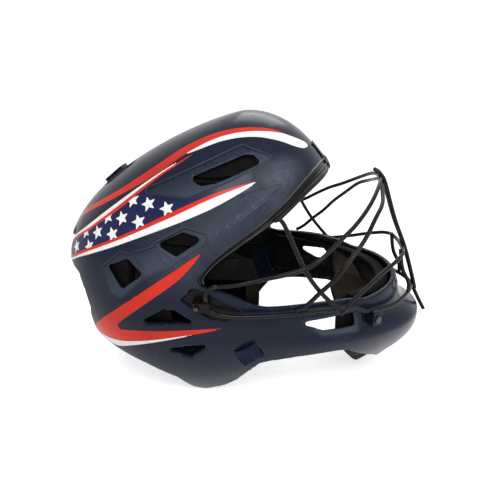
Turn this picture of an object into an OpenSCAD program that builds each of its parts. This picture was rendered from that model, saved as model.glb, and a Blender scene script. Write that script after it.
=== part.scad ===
// Baseball catcher helmet: moulded shell, welded wire face cage, pads and sprung back plate.
// Millimetres. +X is the way the wearer faces, +Y the wearer's left, +Z up.
// The origin is on the resting surface, below the middle of the overall length.

/* [Shell] */
// Height of the crown above the resting surface
crown_height = 247; // [238:1:256]
// Half of the shell's greatest width, at ear level
half_width = 104; // [99:1:109]
// Height at which the shell is widest
widest_height = 115; // [112:1:118]
// Distance from the crown's top back to the rearmost point of the shell
rear_reach = 167; // [161:1:173]
// Distance from the crown's top forward to the end of the brim's curve
front_reach = 93; // [90:1:96]
// Distance from the crown's top back to the widest section at ear level
ear_setback = 35; // [31:1:39]
// Thickness of the moulded wall
wall = 4.5; // [4:0.25:5]
// Depth of the recesses moulded into the outer face
recess_depth = 2.2; // [1.6:0.2:2.6]

/* [Chin] */
// Distance from the crown's top forward to the upper collar of the chin
collar_reach = 140; // [137:1:143]
// Height of the collar's upper edge
collar_top = 101; // [99:1:103]
// Distance from the crown's top forward to the tip of the chin
chin_reach = 165; // [162:1:168]
// Height of the chin's foremost point
chin_height = 57; // [54:1:60]
// Height of the step between the chin and the collar
step_height = 74; // [72:1:76]

/* [Openings] */
// Height of the shell's edge at the middle of the brim
brim_height = 208; // [206:1:210]
// Half width of the opening at the back of the head between the wing tips
back_half_width = 57; // [55:1:59]
// Half width of the opening at the back of the head below the wing tips
back_low_half_width = 80; // [78:1:82]
// Height of the top of the opening at the back of the head
back_top = 139; // [136:1:142]
// Radius of the corners of the vents
vent_corner = 2.5; // [1.5:0.25:3.5]

/* [Trim] */
// Radius of the rubber edging round the upper face opening
trim_radius = 4.6; // [4.2:0.1:5]
// How far the edging's centre line stands off the shell's edge
trim_offset = 3.8; // [3.5:0.1:4.1]

/* [Cage] */
// Diameter of the cage wire
wire_diameter = 4; // [3.8:0.1:4.4]
// Distance from the crown's top forward to the top of the cage
cage_apex_reach = 117; // [115:1:119]
// Height of the cage's brow wire at the middle
cage_apex_height = 190; // [188:1:192]
// How far the foot of the centre bars lies behind the foremost point of the chin
cage_foot_setback = 5.5; // [4:0.5:7]
// Height of the foot of the centre bars
cage_foot_height = 86; // [84:1:88]
// Half of the gap between the centre lines of the two centre bars at the top
bar_half_gap = 6; // [5:0.5:7]
// How far the throat guard reaches below the foot of the centre bars
throat_drop = 28; // [24:1:32]
// How far the throat guard reaches ahead of the foot of the centre bars
throat_lead = 12.5; // [10:0.5:15]
// Clearance between the cage's side wires and the shell
cage_gap = 3; // [2.5:0.25:3.5]

/* [Fasteners] */
// Diameter of the cage screws
screw_diameter = 4; // [3.5:0.25:4.5]
// Diameter of the cage screws' heads
screw_head_diameter = 7; // [6.5:0.25:7.5]
// Thickness of the cage clips
clip_thickness = 2; // [1.75:0.25:2.5]

/* [Pads] */
// Thickness of the crown, brow, side and rear pads
pad_thickness = 15; // [13:1:17]
// Thickness of the ear pads
ear_pad_thickness = 17; // [15:1:19]
// Thickness of the jaw liners
jaw_pad_thickness = 8; // [7:0.5:9]
// Thickness of the chin cup
chin_pad_thickness = 17; // [15:1:19]
// Clearance between the pads and the shell
seat_gap = 0.9; // [0.8:0.05:1]

/* [Back plate] */
// Half width of the back plate
plate_half_width = 47; // [44:1:49]
// Height of the back plate's lower edge
plate_bottom = 52; // [48:1:56]
// Height of the back plate's upper edge
plate_top = 126; // [122:1:128]
// Thickness of the back plate
plate_wall = 3.5; // [3:0.25:4]
// Width of the elastic straps
strap_width = 15; // [13:1:17]
// Thickness of the elastic straps
strap_thickness = 1.6; // [1.4:0.1:2]

/* [Hidden] */

// Exponents of the plan outline: ahead of the ears, behind them, and low on the chin
front_power = 2.15;
rear_power = 2.5;
chin_power = 1.5;
// Exponents that shape the slope of the back of the head above and below ear level
rear_slope = 0.83;
rear_tuck = 0.45;
// Depth below the widest section over which the sides draw in
draw_in = 147;
// How sharply the chin recedes above and below its foremost point
chin_curve = 0.0132;
// Height over which the chin steps back to the collar
step_blend = 10;
// Lowest level to which the shell's form is drawn before its lower edge is cut
form_bottom = -10;
// Heights above the ears, which keep their share of the height up to the crown
ear_level = 115;
ear_to_crown = 132;
function lifted(z) = z <= ear_level ? z :
    ear_level + (z - ear_level) * (crown_height - ear_level) / ear_to_crown;
brim_level = lifted(brim_height);
cage_top = lifted(cage_apex_height);
cage_foot_reach = chin_reach - cage_foot_setback;
// Overall reach behind and ahead of the crown's top, which centres the part on the origin
back_extent = rear_reach * pow(1 - pow(rise(lifted(back_top), 0), 2), rear_slope);
front_extent = cage_foot_reach + throat_lead + wire_diameter / 2;
apex_x = (back_extent - front_extent) / 2;
brim_line = widest_height + 0.674 * (crown_height - widest_height);
wire_radius = wire_diameter / 2;
// Middle of the head cavity, from which the pads are laid out
head_x = apex_x - 25;
head_z = widest_height + 5;
// Far enough to pass right through the helmet
through = 300;

function clamp(v, low, high) = min(high, max(low, v));
function mix(a, b, k) = a + (b - a) * k;
function smooth(k) = let (c = clamp(k, 0, 1)) c * c * (3 - 2 * c);
function unit(v) = v / norm(v);
function mirrored(p) = [p[0], -p[1], p[2]];
function both_sides(half) = concat(
    [for (i = [len(half) - 1:-1:1]) mirrored(half[i])], half
);

// Shape of the shell at height z, where grow moves the face outward
function rise(z, grow) = clamp((z - widest_height) / (crown_height + grow - widest_height), 0, 1);
function fall(z) = clamp((widest_height - z) / draw_in, 0, 0.97);
function dome(z, grow) = sqrt(1 - pow(rise(z, grow), 2));
function tuck(z) = sqrt(1 - pow(fall(z), 2));
function half_at(z, grow) = (half_width + grow) * dome(z, grow) * tuck(z) + grow * (1 - tuck(z));
function mid_at(z) = apex_x - ear_setback * (1 - pow(rise(z, 0), 2));
function rear_at(z, grow) = let (t = pow(1 - pow(fall(z), 2), rear_tuck))
    apex_x - (rear_reach + grow) * pow(1 - pow(rise(z, grow), 2), rear_slope) * t - grow * (1 - t);
function brow_at(z, grow) = apex_x + (front_reach + grow) * dome(z, grow);
function collar_at(z, grow) = apex_x + collar_reach + (collar_top - z) * 0.3 + grow;
function chin_at(z, grow) = apex_x + chin_reach - chin_curve * pow(z - chin_height, 2) + grow;
function front_at(z, grow) =
    z >= brim_line ? brow_at(z, grow) :
    z >= collar_top ? mix(brow_at(brim_line, grow), collar_at(collar_top, grow),
                          (brim_line - z) / (brim_line - collar_top)) :
    z >= step_height + 3 ? collar_at(z, grow) :
    z >= step_height + 3 - step_blend ?
        mix(collar_at(z, grow), chin_at(z, grow), smooth((step_height + 3 - z) / step_blend)) :
    chin_at(z, grow);
function power_at(z) = mix(front_power, chin_power, clamp((70 - z) / 50, 0, 1));
function reach_at(z, grow, ahead) =
    ahead ? front_at(z, grow) - mid_at(z) : mid_at(z) - rear_at(z, grow);
// Half width of the face at x and z, and the foremost x at y and z
function side_y(x, z, grow = 0) = let (
    ahead = x > mid_at(z),
    n = ahead ? power_at(z) : rear_power,
    u = abs(x - mid_at(z)) / reach_at(z, grow, ahead)
) u >= 1 ? 0 : half_at(z, grow) * pow(1 - pow(u, n), 1 / n);
function nose_x(y, z, grow = 0) = let (
    n = power_at(z),
    v = min(1, abs(y) / half_at(z, grow))
) mid_at(z) + reach_at(z, grow, true) * pow(1 - pow(v, n), 1 / n);
function ring_point(z, turn, grow) = let (
    ahead = cos(turn) > 0,
    n = ahead ? power_at(z) : rear_power,
    c = sign(cos(turn)) * pow(abs(cos(turn)), 2 / n),
    s = sign(sin(turn)) * pow(abs(sin(turn)), 2 / n)
) [mid_at(z) + c * reach_at(z, grow, ahead), s * half_at(z, grow), z];
// Measure that is below 1 inside the face and above 1 outside it
function measure(p, grow) = let (z = p[2]) z >= crown_height + grow - 0.01 ? 2 : let (
    ahead = p[0] > mid_at(z),
    n = ahead ? power_at(z) : rear_power
) pow(abs(p[0] - mid_at(z)) / reach_at(z, grow, ahead), n) + pow(abs(p[1]) / half_at(z, grow), n);
// Point where a ray from the middle of the head leaves the face
function cast(d, grow, low = 20, high = 260, steps = 18) = let (
    m = (low + high) / 2,
    p = [head_x, 0, head_z] + d * m
) steps == 0 ? p :
    measure(p, grow) < 1 ? cast(d, grow, m, high, steps - 1) : cast(d, grow, low, m, steps - 1);
// Directions by turn from the front and lift, and by pitch from the crown and roll
function around(turn, lift) = [cos(turn) * cos(lift), sin(turn) * cos(lift), sin(lift)];
function over(pitch, roll) = [sin(pitch) * cos(roll), sin(roll), cos(pitch) * cos(roll)];

// Levels of the shell's form, from the crown down
dome_levels = 11;
low_levels = 6;
turn_steps = 40;
function levels(grow, bottom) = concat(
    [for (i = [1:dome_levels])
        widest_height + (crown_height + grow - widest_height) * cos(90 * i / dome_levels)],
    [for (i = [1:3]) mix(widest_height, step_height + 3, i / 3)],
    [for (k = [1:4]) step_height + 3 - step_blend * k / 4],
    [for (i = [1:low_levels]) mix(step_height + 3 - step_blend, bottom, i / low_levels)]
);
module outer_form(grow = 0, bottom = form_bottom) {
    heights = levels(grow, bottom);
    rings = [for (z = heights) [for (k = [0:turn_steps - 1]) ring_point(z, 360 * k / turn_steps, grow)]];
    points = concat(
        [[apex_x, 0, crown_height + grow]], [for (r = rings) each r],
        [[mid_at(bottom), 0, bottom]]
    );
    count = len(heights);
    last = len(points) - 1;
    faces = concat(
        [for (k = [0:turn_steps - 1]) [0, 1 + (k + 1) % turn_steps, 1 + k]],
        [for (i = [0:count - 2], k = [0:turn_steps - 1], half = [0, 1]) let (
            a = 1 + i * turn_steps + k, b = 1 + i * turn_steps + (k + 1) % turn_steps
        ) half == 0 ? [a, b, b + turn_steps] : [a, b + turn_steps, a + turn_steps]],
        [for (k = [0:turn_steps - 1]) let (base = 1 + (count - 1) * turn_steps)
            [last, base + k, base + (k + 1) % turn_steps]]
    );
    polyhedron(points, faces, convexity = 8);
}

// Outlines in the side view, as x from the crown's top and height
function side(list) = [for (p = list) [apex_x + p[0], lifted(p[1])]];
face_outline = [
    [70, brim_height + 2.5], [46, brim_height - 10], [23, brim_height - 28],
    [-6.5, brim_height - 49.5], [-25, brim_height - 64], [-30, 136], [-31.5, 128], [-29.5, 122.5],
    [-22, 120.5], [-12.5, 119], [0, 113], [9, 108], [18, 104.5], [27, 103.3], [50, 104],
    [74, 104], [93, 102.5], [106, collar_top - 2], [120, collar_top - 0.5],
    [collar_reach - 5, collar_top], [240, collar_top], [240, 240], [120, 240]
];
lower_outline = [
    [-240, -60], [-240, 78], [-131, 58], [-111, 49], [-84, 37], [-58, 21], [-47, 4], [-39, 0],
    [-33, 0], [-16, 8], [-4, 18], [7, 33], [17, 44], [25, 46.5], [50, 50], [84, 52], [93, 50],
    [109, 35], [122, 20], [130, 8], [240, 8], [240, -60]
];
slot_outline = [[-38, 202.5], [-33, 199.5], [-22, 200.5], [15, 215.5], [11, 219], [5, 219.5]];
front_square = [[-62, 154], [-41, 165], [-29, 160], [-49, 145.5]];
rear_square = [[-107, 132.5], [-88, 141.5], [-76, 130], [-95, 115]];
ear_triangle = [[-78, 86.5], [-63, 99.5], [-57, 101.5], [-49, 100.5], [-37, 89.5]];
low_triangle = [[-59, 59.5], [-27, 66.5], [-42, 50.5]];
jaw_vent = [[54, 85], [77, 88.5], [96.5, 87.5], [98, 78.5], [79, 78.5], [68, 77.5]];
ear_pocket = [[-45, 111], [-36, 120.5], [-27, 117.5], [3, 99.5], [-6, 93.5], [-19, 92.5]];
back_start = 88;
back_depth = 160;
back_outline = [
    [-1, back_top], [back_half_width - 8, back_top], [back_half_width, back_top - 4],
    [back_half_width + 5, back_top - 14], [back_low_half_width - 4, back_top - 20],
    [back_low_half_width, back_top - 34], [back_low_half_width, 90],
    [back_low_half_width - 9, 64], [back_low_half_width - 10, -20], [-1, -20]
];
strap_slots = [[[-3, 63], [4, 44]], [[12, 73], [20, 54]]];
strap_slot_radius = 1.7;

module side_prism(points) {
    translate([0, through / 2, 0]) rotate([90, 0, 0]) linear_extrude(through) polygon(side(points));
}
// A window with rounded corners, cut through both sides of the shell
function centre_of(points) =
    [for (k = [0, 1]) [for (p = points) p[k]] * [for (p = points) 1] / len(points)];
function corner_at(p, points, radius) = p + unit(centre_of(points) - p) * radius * 1.3;
module window(outline, radius) {
    points = side(outline);
    translate([0, through / 2, 0]) rotate([90, 0, 0]) linear_extrude(through)
        hull() for (p = points) translate(corner_at(p, points, radius)) circle(radius, $fn = 16);
}
module slit(ends, radius) {
    translate([0, through / 2, 0]) rotate([90, 0, 0]) linear_extrude(through)
        hull() for (p = ends) translate([apex_x, 0] + p) circle(radius, $fn = 12);
}
// The outer face's skin, which the recesses take away
module skin() {
    difference() {
        outer_form(6);
        outer_form(-recess_depth);
    }
}
module recesses() {
    intersection() {
        skin();
        union() {
            window([[-75, 192], [-60, 198], [2, 225.5], [24, 217], [-4, 203], [-42, 189]], 2);
            window([[-120, 133], [-93, 150], [-72, 131], [-97, 106]], 3);
            window([[-74, 152], [-40, 172], [-20, 160], [-50, 137]], 3);
            window([[-91, 139], [-64, 157], [-57, 146], [-78, 131]], 3);
            window([[-140, 178], [-125, 193], [-98, 206], [-103, 198]], 2);
            window([[50, 89], [76, 92], [101, 91], [101, 72], [80, 73], [66, 73]], 3);
        }
    }
}
// The opening at the back of the head, with a notch above each wing tip
module back_opening() {
    translate([apex_x - back_start - back_depth, 0, 0]) rotate([90, 0, 90])
        linear_extrude(back_depth) for (s = [-1, 1]) {
            polygon([for (p = back_outline) [s * p[0], lifted(p[1])]]);
            hull() {
                translate([s * (back_half_width - 7), lifted(back_top) + 6]) circle(6, $fn = 20);
                translate([s * (back_half_width - 14), lifted(back_top) - 10]) circle(12, $fn = 20);
            }
        }
}
module outer_shell() {
    color([0.15, 0.18, 0.27]) difference() {
        outer_form(0);
        outer_form(-wall, form_bottom - 8);
        translate([0, through / 2, 0]) rotate([90, 0, 0]) linear_extrude(through)
            offset(r = 5, $fn = 24) offset(delta = -5) polygon(side(face_outline));
        side_prism(lower_outline);
        back_opening();
        window(slot_outline, vent_corner);
        window(front_square, vent_corner);
        window(rear_square, vent_corner);
        window(ear_triangle, vent_corner);
        window(low_triangle, vent_corner);
        window(jaw_vent, vent_corner);
        window(ear_pocket, vent_corner);
        for (ends = strap_slots) slit(ends, strap_slot_radius);
        recesses();
    }
}

// A smooth path through its points, with extra points between each pair
function spline_point(a, b, c, d, t) = 0.5 * (
    2 * b + (c - a) * t + (2 * a - 5 * b + 4 * c - d) * t * t + (3 * b - a - 3 * c + d) * t * t * t
);
function spline(points, parts) = let (n = len(points)) concat(
    [for (i = [0:n - 2], k = [0:parts - 1]) spline_point(
        points[max(i - 1, 0)], points[i], points[i + 1], points[min(i + 2, n - 1)], k / parts)],
    [points[n - 1]]
);
// A closed tube along a path, its section wide across the head and deep away from it
module tube(path, wide, deep, sides = 8) {
    n = len(path);
    centre = [head_x, 0, head_z];
    rings = [for (i = [0:n - 1]) let (
        t = unit(path[min(i + 1, n - 1)] - path[max(i - 1, 0)]),
        across = unit(cross(t, path[i] - centre)),
        away = cross(across, t)
    ) [for (k = [0:sides - 1]) let (a = 360 * (k + 0.5) / sides)
        path[i] + across * cos(a) * wide + away * sin(a) * deep]];
    points = concat([for (r = rings) each r], [path[0], path[n - 1]]);
    faces = concat(
        [for (i = [0:n - 2], k = [0:sides - 1], half = [0, 1]) let (
            a = i * sides + k, b = i * sides + (k + 1) % sides
        ) half == 0 ? [a, b, b + sides] : [a, b + sides, a + sides]],
        [for (k = [0:sides - 1]) [n * sides, (k + 1) % sides, k]],
        [for (k = [0:sides - 1]) [n * sides + 1, (n - 1) * sides + k, (n - 1) * sides + (k + 1) % sides]]
    );
    polyhedron(points, faces, convexity = 6);
}
module wire(points, parts = 2) {
    tube(spline(points, parts), wire_radius, wire_radius);
}

// The shell's edge round the upper face opening, from the middle of the brim to the ear,
// moved by shift into the opening
edge_slope = [0.6, -0.8];
brim_slope = 0.7;
function edge_half(shift, grow) = concat(
    [for (y = [0, 15, 30, 45, 58]) let (z = brim_level - 9 * pow(y / 58, 2))
        [nose_x(y, z, grow) + brim_slope * shift, y, z - brim_slope * shift]],
    [for (p = [[23, brim_height - 28], [8, brim_height - 38.5], [-6.5, brim_height - 49.5],
               [-17, brim_height - 57.5], [-25, brim_height - 64]]) let (
        x = apex_x + p[0] + edge_slope[0] * shift,
        z = lifted(p[1]) + edge_slope[1] * shift
    ) [x, side_y(x, z, grow), z]],
    [for (p = [[-30 + shift, 136], [-31 + shift, 130]]) let (x = apex_x + p[0], z = lifted(p[1]))
        [x, side_y(x, z, grow), z]]
);
module opening_trim() {
    color([0.05, 0.05, 0.055])
        tube(spline(both_sides(edge_half(trim_offset, -wall / 2)), 2), trim_radius, trim_radius * 0.85);
}

// A point beside the shell, clear of it by the cage's gap and then out by a further distance,
// at x from the crown's top and height z
cage_grow = cage_gap + wire_radius;
function beside(x, z, out = 0) =
    [apex_x + x, side_y(apex_x + x, lifted(z), cage_grow) + out, lifted(z)];
// How far the wires' bend at the ear dips towards the shell
bend_dip = cage_gap - 0.3;
// A point of the front of the cage, behind its topmost point and below it
function below_top(back, y, drop) = [apex_x + cage_apex_reach - back, y, cage_top - drop];
// How deep welded wires run into each other, and where the wires meet
weld = 0.9;
temple = beside(33, 173, -1);
cheek_joint = beside(51, 138, 7);
cheek_crossing = beside(64, 118, 6);
jaw_joint = beside(81, 96, 3);
ear_end_x = -18;
eye_half = [
    below_top(-1.6, 0, 0), below_top(1.2, 22, 2.2), below_top(11.4, 48, 13), below_top(24.8, 69, 24.4),
    below_top(37.2, 83, 32.4), below_top(54, cheek_joint[1] - 2, 45), cheek_joint,
    beside(34, 134, 4), beside(16, 130), beside(0, 126.5), beside(ear_end_x, 124, -bend_dip)
];
module eye_wire() {
    color([0.07, 0.07, 0.075]) wire(both_sides(eye_half));
}
trim_line = edge_half(trim_offset, -wall / 2);
wire_off_trim = trim_radius + wire_radius + 0.3;
opening_half = concat(
    [for (i = [0:2]) trim_line[i] + [0.12, 0, -1] * wire_off_trim],
    [trim_line[3] + unit([0.5, 0.05, -0.8]) * (wire_off_trim + 0.4)],
    [for (i = [4:5]) edge_half(trim_offset + wire_off_trim, 0)[i]],
    [temple + [-1, 0, 3], beside(36, 161, 2), cheek_joint - [0, wire_diameter - weld, 0],
     cheek_crossing - [0, wire_diameter - weld, 0], jaw_joint + [0, 0, wire_diameter - weld]]
);
module opening_wire() {
    color([0.07, 0.07, 0.075]) wire(both_sides(opening_half));
}
cheek_half = [
    below_top(-2.8, 0, wire_diameter - weld), below_top(-1.6, 20, wire_diameter + 3.5),
    below_top(1, 43, 14.2), below_top(9, 61, 21.5), below_top(18.4, 77, 34.5), below_top(31.8, 89, 49.5),
    below_top(41, 94, 61.5), cheek_crossing, beside(54, 107, 3),
    beside(46, 100, 0.5) + [0, 0, wire_diameter - weld]
];
module cheek_wire() {
    color([0.07, 0.07, 0.075]) wire(both_sides(cheek_half));
}
mouth_reach = 143.5;
mouth_height = 125;
mouth_level = lifted(mouth_height);
// Rows give how far a point lies behind the middle, to the side, and down towards the jaw
mouth_half = concat(
    [for (p = [[0, 0, 0], [1.4, 20, 0], [7, 35, 0.02], [25.5, 53, 0.32], [38.8, 66, 0.58],
               [52.2, 79.5, 0.82]])
        [apex_x + mouth_reach - p[0], p[1], mix(mouth_level, jaw_joint[2] + 1, p[2])]],
    [jaw_joint + [1, wire_radius, 1]]
);
module mouth_wire() {
    color([0.07, 0.07, 0.075]) wire(both_sides(mouth_half));
}
jaw_half = [
    [apex_x + cage_foot_reach - 3, 0, cage_foot_height],
    [apex_x + cage_foot_reach - 5, 12, cage_foot_height],
    [apex_x + cage_foot_reach - 14, 30, cage_foot_height],
    beside(134, 86.5, 1), beside(121, 88, 0), beside(105, 91, 0), beside(93, 98.5, 0),
    jaw_joint + [4, -3, 4.5] * 0.7, beside(64, 100.5, 0), beside(45, 100, 0),
    beside(25, 99.5, 0), beside(-1, 99.5, 0), beside(ear_end_x + 6, 101, 0)
];
ear_bend = [
    beside(ear_end_x - 1, 102, -bend_dip), beside(ear_end_x - 5, 104.5, -bend_dip),
    beside(ear_end_x - 6.5, 109, -bend_dip), beside(ear_end_x - 6.5, 117, -bend_dip),
    beside(ear_end_x - 5, 121.5, -bend_dip), beside(ear_end_x + 0.2, 124, -bend_dip)
];
module jaw_wire() {
    color([0.07, 0.07, 0.075]) wire(both_sides(concat(jaw_half, ear_bend)));
}
// Route of a centre bar, just ahead of the wires that it is welded to
bar_gap = wire_radius - 0.05;
function bar_route(s) = [
    below_top(3, s * (bar_half_gap - 2), -5.5), below_top(-3.2, s * bar_half_gap, -3.4),
    below_top(-7.6, s * bar_half_gap, 8),
    [apex_x + mouth_reach - 8.3, s * (bar_half_gap - 1), mouth_level + 26],
    [apex_x + mouth_reach + wire_diameter - weld, s * (bar_half_gap - 2), mouth_level],
    [apex_x + mouth_reach + 10.4, s * (bar_gap + 0.15), mix(mouth_level, cage_foot_height, 0.54)],
    [apex_x + cage_foot_reach + wire_diameter - 3 - weld, s * bar_gap, cage_foot_height],
    [apex_x + cage_foot_reach + wire_diameter - 1.8 - weld, s * bar_gap, cage_foot_height - 5]
];
module center_bar_left() {
    color([0.07, 0.07, 0.075]) wire(bar_route(1), 2);
}
module center_bar_right() {
    color([0.07, 0.07, 0.075]) wire(bar_route(-1), 2);
}
// Short bars from the mouth wire down to the jaw wire
function chin_bar_route(s) = [
    [apex_x + mouth_reach - 4.4, s * 23, mouth_level + 3],
    [apex_x + mouth_reach - 1, s * 23, mouth_level - 16],
    [apex_x + cage_foot_reach - 10, s * 23, cage_foot_height + 10],
    [apex_x + cage_foot_reach - 9.5, s * 22, cage_foot_height + 1]
];
module chin_bar_left() {
    color([0.07, 0.07, 0.075]) wire(chin_bar_route(1), 2);
}
module chin_bar_right() {
    color([0.07, 0.07, 0.075]) wire(chin_bar_route(-1), 2);
}
module throat_guard() {
    color([0.07, 0.07, 0.075]) wire([
        [apex_x + cage_foot_reach - 0.6, 0, cage_foot_height - wire_radius - 1.5],
        [apex_x + cage_foot_reach + throat_lead * 0.5, 0, cage_foot_height - throat_drop * 0.6],
        [apex_x + cage_foot_reach + throat_lead, 0, cage_foot_height - throat_drop]
    ], 3);
}

// A flat strip along stations of a point and the direction of the strip's width
module strip(stations, width, thickness) {
    n = len(stations);
    rings = [for (i = [0:n - 1]) let (
        t = unit(stations[min(i + 1, n - 1)][0] - stations[max(i - 1, 0)][0]),
        a = unit(stations[i][1] - t * (stations[i][1] * t)) * width / 2,
        b = unit(cross(t, a)) * thickness / 2,
        p = stations[i][0]
    ) [p + a + b, p - a + b, p - a - b, p + a - b]];
    last = 4 * (n - 1);
    faces = concat(
        [for (i = [0:n - 2], k = [0:3], half = [0, 1]) let (
            c = 4 * i + k, d = 4 * i + (k + 1) % 4
        ) half == 0 ? [c, d + 4, d] : [c, c + 4, d + 4]],
        [[0, 1, 2], [0, 2, 3], [last, last + 2, last + 1], [last, last + 3, last + 2]]
    );
    polyhedron([for (r = rings) each r], faces, convexity = 4);
}
// Places its children on the side of the shell, with their +Y pointing straight out
module on_side(x, z) {
    lean = atan((side_y(apex_x + x - 1, z) - side_y(apex_x + x + 1, z)) / 2);
    translate([apex_x + x, side_y(apex_x + x, z), z]) rotate([0, 0, -lean]) children();
}
module left_or_right(s) {
    if (s > 0) children();
    else mirror([0, 1, 0]) children();
}
module across_at(y0, y1) {
    translate([0, y1, 0]) rotate([90, 0, 0]) linear_extrude(y1 - y0) children();
}

// The plug that fills the ear pocket and carries the rear of the cage
bolt_x = ear_end_x - 13.4;
bolt_z = 107.5;
plug_gap = 0.4;
plug_recess = 2.4;
plug_lip = 1.6;
plug_flange = 1.6;
plug_face = side_y(apex_x + bolt_x, bolt_z) - plug_recess;
plug_inner = side_y(apex_x + 3, 99.5, -wall) - 1;
plug_back = plug_inner - plug_lip;
nut_height = 3.2;
nut_radius = screw_diameter * 0.95;
bore_play = 0.15;
screw_radius = screw_diameter / 2;
head_height = 2.2;
module plug_shape(grow) {
    points = side(ear_pocket);
    hull() for (p = points) translate(corner_at(p, points, vent_corner))
        circle(vent_corner + grow, $fn = 16);
}
module bolt_rod(radius, y0, y1) {
    translate([apex_x + bolt_x, y1, bolt_z]) rotate([90, 0, 0])
        cylinder(r = radius, h = y1 - y0, $fn = 32);
}
module cage_mount(s) {
    color([0.08, 0.08, 0.085]) left_or_right(s) difference() {
        union() {
            across_at(plug_back, plug_face) plug_shape(-plug_gap);
            across_at(plug_back, plug_inner) plug_shape(plug_flange);
        }
        bolt_rod(screw_radius + bore_play, plug_back - 20, plug_face + 20);
    }
}
module cage_mount_left() {
    cage_mount(1);
}
module cage_mount_right() {
    cage_mount(-1);
}
// The clip: a foot on the plug and a tongue over the cage's rear bend
tongue_y = beside(ear_end_x - 6.5, 114, -bend_dip)[1] + wire_radius + 0.3;
tongue_top = tongue_y + clip_thickness;
clip_height = 8;
clip_foot = 6.6;
clip_reach = 14;
clip_back = bolt_x - clip_foot / 2;
module cage_clip(s) {
    color([0.1, 0.09, 0.085]) left_or_right(s) difference() {
        translate([apex_x + clip_back, 0, bolt_z - clip_height / 2]) union() {
            translate([0, plug_face, 0]) cube([clip_foot, tongue_top - plug_face, clip_height]);
            translate([0, tongue_y, 0]) cube([clip_reach, clip_thickness, clip_height]);
        }
        bolt_rod(screw_radius + bore_play, plug_face - 5, tongue_top + 20);
    }
}
module cage_clip_left() {
    cage_clip(1);
}
module cage_clip_right() {
    cage_clip(-1);
}
module cage_screw(s) {
    slot = [1, 1.6, screw_head_diameter - 1];
    color([0.35, 0.33, 0.3]) left_or_right(s) difference() {
        union() {
            bolt_rod(screw_radius, plug_back - nut_height - 0.5, tongue_top);
            bolt_rod(screw_head_diameter / 2, tongue_top, tongue_top + head_height);
        }
        translate([apex_x + bolt_x, tongue_top + head_height, bolt_z]) cube(slot, center = true);
    }
}
module cage_screw_left() {
    cage_screw(1);
}
module cage_screw_right() {
    cage_screw(-1);
}
module cage_nut(s) {
    color([0.5, 0.5, 0.5]) left_or_right(s) difference() {
        bolt_rod(nut_radius, plug_back - nut_height, plug_back);
        bolt_rod(screw_radius + bore_play / 3, plug_back - 20, plug_back + 20);
    }
}
module cage_nut_left() {
    cage_nut(1);
}
module cage_nut_right() {
    cage_nut(-1);
}

// Saddles that hold the jaw wire on each side of the chin
saddle_x = 109.5;
saddle_z = 89;
saddle_width = 9.5;
saddle_drop = 12;
saddle_lip = 2;
saddle_stand = 0.6;
saddle_under = wire_radius + 0.6;
saddle_screw = 1.6;
saddle_screw_z = -saddle_under - 3.6;
saddle_y = cage_grow + wire_radius + 0.3;
module saddle_rod(radius, y0, y1) {
    translate([0, y1, saddle_screw_z]) rotate([90, 0, 0])
        cylinder(r = radius, h = y1 - y0, $fn = 24);
}
module chin_clip(s) {
    color([0.15, 0.18, 0.27]) left_or_right(s) on_side(saddle_x, saddle_z) difference() {
        translate([-saddle_width / 2, saddle_stand, -saddle_drop])
            cube([saddle_width, saddle_y + saddle_lip - saddle_stand, saddle_drop + wire_radius]);
        translate([-saddle_width, -1, -saddle_under])
            cube([saddle_width * 2, saddle_y + 1, wire_diameter + 5]);
        saddle_rod(saddle_screw + bore_play, -5, saddle_y + 10);
    }
}
module chin_clip_left() {
    chin_clip(1);
}
module chin_clip_right() {
    chin_clip(-1);
}
module chin_clip_screw(s) {
    head_at = saddle_y + saddle_lip;
    color([0.45, 0.38, 0.3]) left_or_right(s) on_side(saddle_x, saddle_z) {
        saddle_rod(saddle_screw * 1.9, head_at, head_at + 1.5);
        saddle_rod(saddle_screw, saddle_stand / 2, head_at);
    }
}
module chin_clip_screw_left() {
    chin_clip_screw(1);
}
module chin_clip_screw_right() {
    chin_clip_screw(-1);
}

// The clip over the edging and the opening wire at the middle of the brim
brim_clip_width = 18;
brim_tab = brim_level + 9;
brim_screw = 1.5;
brim_clip_thickness = 0.7 * clip_thickness;
brim_over = wire_radius + brim_clip_thickness / 2 + 0.5;
brim_round = trim_radius + brim_clip_thickness / 2 + 0.3;
brim_stand = brim_clip_thickness / 2 + 0.3;
brim_clip_path = [
    [nose_x(0, brim_tab + 3, brim_stand), 0, brim_tab + 3],
    [nose_x(0, brim_tab - 3, brim_stand + 0.1), 0, brim_tab - 3],
    trim_line[0] + unit([0.75, 0, 0.7]) * brim_round,
    trim_line[0] + unit([1, 0, -0.15]) * brim_round,
    opening_half[0] + unit([1, 0, 0.1]) * (brim_over + 0.8),
    opening_half[0] + unit([0.5, 0, -1]) * brim_over
];
module brim_rod(radius, low, high) {
    foot = brim_clip_path[0];
    slope = brim_clip_path[0] - brim_clip_path[1];
    translate((foot + brim_clip_path[1]) / 2) rotate([0, 90 - atan2(-slope[0], slope[2]), 0])
        translate([0, 0, low]) cylinder(r = radius, h = high - low, $fn = 24);
}
module brim_clip() {
    color([0.06, 0.06, 0.065]) difference() {
        strip([for (p = spline(brim_clip_path, 2)) [p, [0, 1, 0]]],
              brim_clip_width, brim_clip_thickness);
        brim_rod(brim_screw + bore_play, -9, 9);
    }
}
module brim_clip_screw() {
    color([0.3, 0.3, 0.3]) union() {
        brim_rod(brim_screw * 1.9, brim_clip_thickness / 2 + 0.1, brim_clip_thickness / 2 + 1.1);
        brim_rod(brim_screw, -brim_clip_thickness / 2 + 0.1, brim_clip_thickness / 2 + 0.5);
    }
}

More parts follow.
